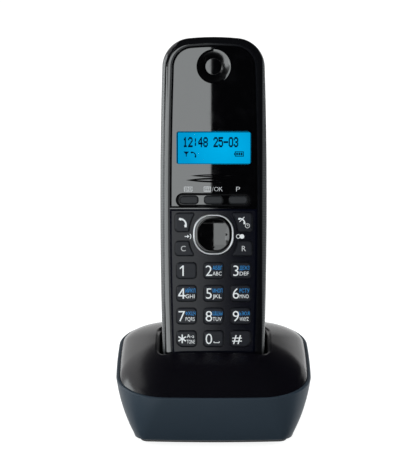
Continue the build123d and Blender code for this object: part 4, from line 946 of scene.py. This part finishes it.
# Studio: white sweep, bright cards, and black flags that show only in reflections
studio = {
    "floor": (0.42, 0.42, 0.42), "floorSize": 6.0, "floorDrop": 0.05 * mm, "floorPolish": 0.8, "floorLift": 0.8,
    "ambient": 0.55, "lamp": (0.94, 0.99, 1.0), "flag": (0.002, 0.002, 0.002),
    "cards": {
        "frontCard": {"at": (-0.159, -0.98, 0.31), "aim": (-0.159, 0, 0.11), "size": (0.32, 0.7), "watts": 3.2},
        "lowCard": {"at": (-0.6, -0.91, 0.24), "aim": (0, 0, 0.24), "size": (0.62, 0.44), "watts": 4.5},
        "sideCard": {"at": (-0.98, 0.05, 0.3), "aim": (0, 0.05, 0.1), "size": (0.75, 0.7), "watts": 6.7},
    },
    "fillCards": {
        "topCard": {"at": (0.0, 0.1, 1.3), "aim": (0, 0, 0), "size": (1.0, 1.0), "watts": 4.0},
        "rightCard": {"at": (0.6, 0.25, 0.12), "aim": (0.04, 0, 0.03), "size": (0.25, 0.18), "watts": 4.0},
    },
    "flags": {
        "frontFlag": {"at": (0.482, -1.02, 0.45), "across": (0.48, 0, 0), "up": (0, 0, 0.448)},
        "overFlag": {"at": (0.41, 0.07, 0.72), "across": (0.79, 0, 0), "up": (0, 1.37, 0)},
        "sideFlag": {"at": (0.96, -0.17, 0.4), "across": (0, 0.85, 0), "up": (0, 0, 0.398)},
        "lowFlag": {"at": (0.63, -0.17, 0.001), "across": (0.33, 0, 0), "up": (0, 0.85, 0)},
        "nearFlag": {"at": (-0.23, -0.4875, 0.001), "across": (0.52, 0, 0), "up": (0, 0.4525, 0)},
        "leftFlag": {"at": (-0.81, -0.8, 0.735), "across": (0.4, 0, 0), "up": (0, 0.52, 0)},
        "skyFlag": {"at": (-0.46, -0.16, 0.73), "across": (0.1, 0, 0), "up": (0, 0.13, 0)},
        "gapFlag": {"at": (-0.853, -0.4825, 0.37), "across": (-0.098, 0.1735, 0), "up": (0, 0, 0.36)},
    },
}


def addCard(name, card):
    lamp = bpy.data.lights.new(name, "AREA")
    lamp.shape = "RECTANGLE"
    lamp.size, lamp.size_y = card["size"]
    lamp.energy = card["watts"]
    lamp.color = studio["lamp"]
    holder = bpy.data.objects.new(name, lamp)
    holder.location = card["at"]
    holder.rotation_mode = "QUATERNION"
    holder.rotation_quaternion = (Vector(card["aim"]) - Vector(card["at"])).to_track_quat("-Z", "Y")
    holder.visible_transmission = False
    bpy.context.collection.objects.link(holder)
    return holder


def flatPanel(name, at, across, up, material):
    middle, sideways, upwards = Vector(at), Vector(across), Vector(up)
    corners = [middle + sideways * x + upwards * y for x, y in ((-1, -1), (1, -1), (1, 1), (-1, 1))]
    mesh = bpy.data.meshes.new(name)
    mesh.from_pydata(corners, [], [[0, 1, 2, 3]])
    mesh.materials.append(material)
    panel = bpy.data.objects.new(name, mesh)
    bpy.context.collection.objects.link(panel)
    return panel


def backgroundRays(tree):
    # 1 for the rays that show the background: straight, mirrored or through glass
    rays = addNode(tree, "ShaderNodeLightPath")
    seen = mathNode(tree, "MAXIMUM", rays.outputs["Is Camera Ray"], rays.outputs["Is Glossy Ray"])
    return mathNode(tree, "MAXIMUM", seen, rays.outputs["Is Transmission Ray"])


def buildSky():
    world = bpy.data.worlds.new("studio")
    bpy.context.scene.world = world
    world.use_nodes = True
    tree = world.node_tree
    background = tree.nodes["Background"]
    background.inputs["Color"].default_value = (1, 1, 1, 1)
    span = addNode(tree, "ShaderNodeMapRange")
    span.inputs["To Min"].default_value = studio["ambient"]
    tree.links.new(backgroundRays(tree), span.inputs["Value"])
    tree.links.new(span.outputs[0], background.inputs["Strength"])


def buildFloor():
    finish, tree, shader = newFinish("studioFloor")
    setShader(shader, Roughness=studio["floorPolish"], **{"Base Color": (*studio["floor"], 1)})
    setShader(shader, **{"Specular IOR Level": 0.0, "Emission Color": (1, 1, 1, 1)})
    lift = mathNode(tree, "MULTIPLY", backgroundRays(tree), studio["floorLift"])
    tree.links.new(lift, shader.inputs["Emission Strength"])
    # seen from below the floor is clear, so that the underside shows
    clear = addNode(tree, "ShaderNodeMixShader")
    tree.links.new(addNode(tree, "ShaderNodeNewGeometry").outputs["Backfacing"], clear.inputs["Fac"])
    tree.links.new(shader.outputs["BSDF"], clear.inputs[1])
    tree.links.new(addNode(tree, "ShaderNodeBsdfTransparent").outputs["BSDF"], clear.inputs[2])
    tree.links.new(clear.outputs["Shader"], tree.nodes["Material Output"].inputs["Surface"])
    half = studio["floorSize"] / 2
    flatPanel("studioFloor", (0, 0, -studio["floorDrop"]), (half, 0, 0), (0, half, 0), finish)


def buildFlags():
    finish, _, shader = newFinish("blackFlag")
    setShader(shader, Roughness=1.0, **{"Base Color": (*studio["flag"], 1), "Specular IOR Level": 0.0})
    for name, flag in studio["flags"].items():
        panel = flatPanel(name, flag["at"], flag["across"], flag["up"], finish)
        panel.visible_camera = False
        panel.visible_shadow = False
        panel.visible_diffuse = False


buildSky()
buildFloor()
buildFlags()
for name, card in studio["cards"].items():
    addCard(name, card)
for name, card in studio["fillCards"].items():
    addCard(name, card).visible_glossy = False

camera = {
    "elevation": 18.5, "distance": 0.8, "target": (-3.01 * mm, 0.0, 94.0 * mm),
    "viewHeight": 205.2 * mm, "sensor": 36.0,
}


def placeCamera():
    lens = bpy.data.cameras.new("camera")
    lens.sensor_width = camera["sensor"]
    lens.lens = camera["sensor"] * camera["distance"] / camera["viewHeight"]
    holder = bpy.data.objects.new("camera", lens)
    rise = radians(camera["elevation"])
    away = Vector((0, -cos(rise), sin(rise)))
    holder.location = Vector(camera["target"]) + away * camera["distance"]
    holder.rotation_mode = "QUATERNION"
    holder.rotation_quaternion = (-away).to_track_quat("-Z", "Y")
    bpy.context.collection.objects.link(holder)
    bpy.context.scene.camera = holder


placeCamera()
bpy.context.scene.view_settings.view_transform = "Standard"
print("studio and camera set")
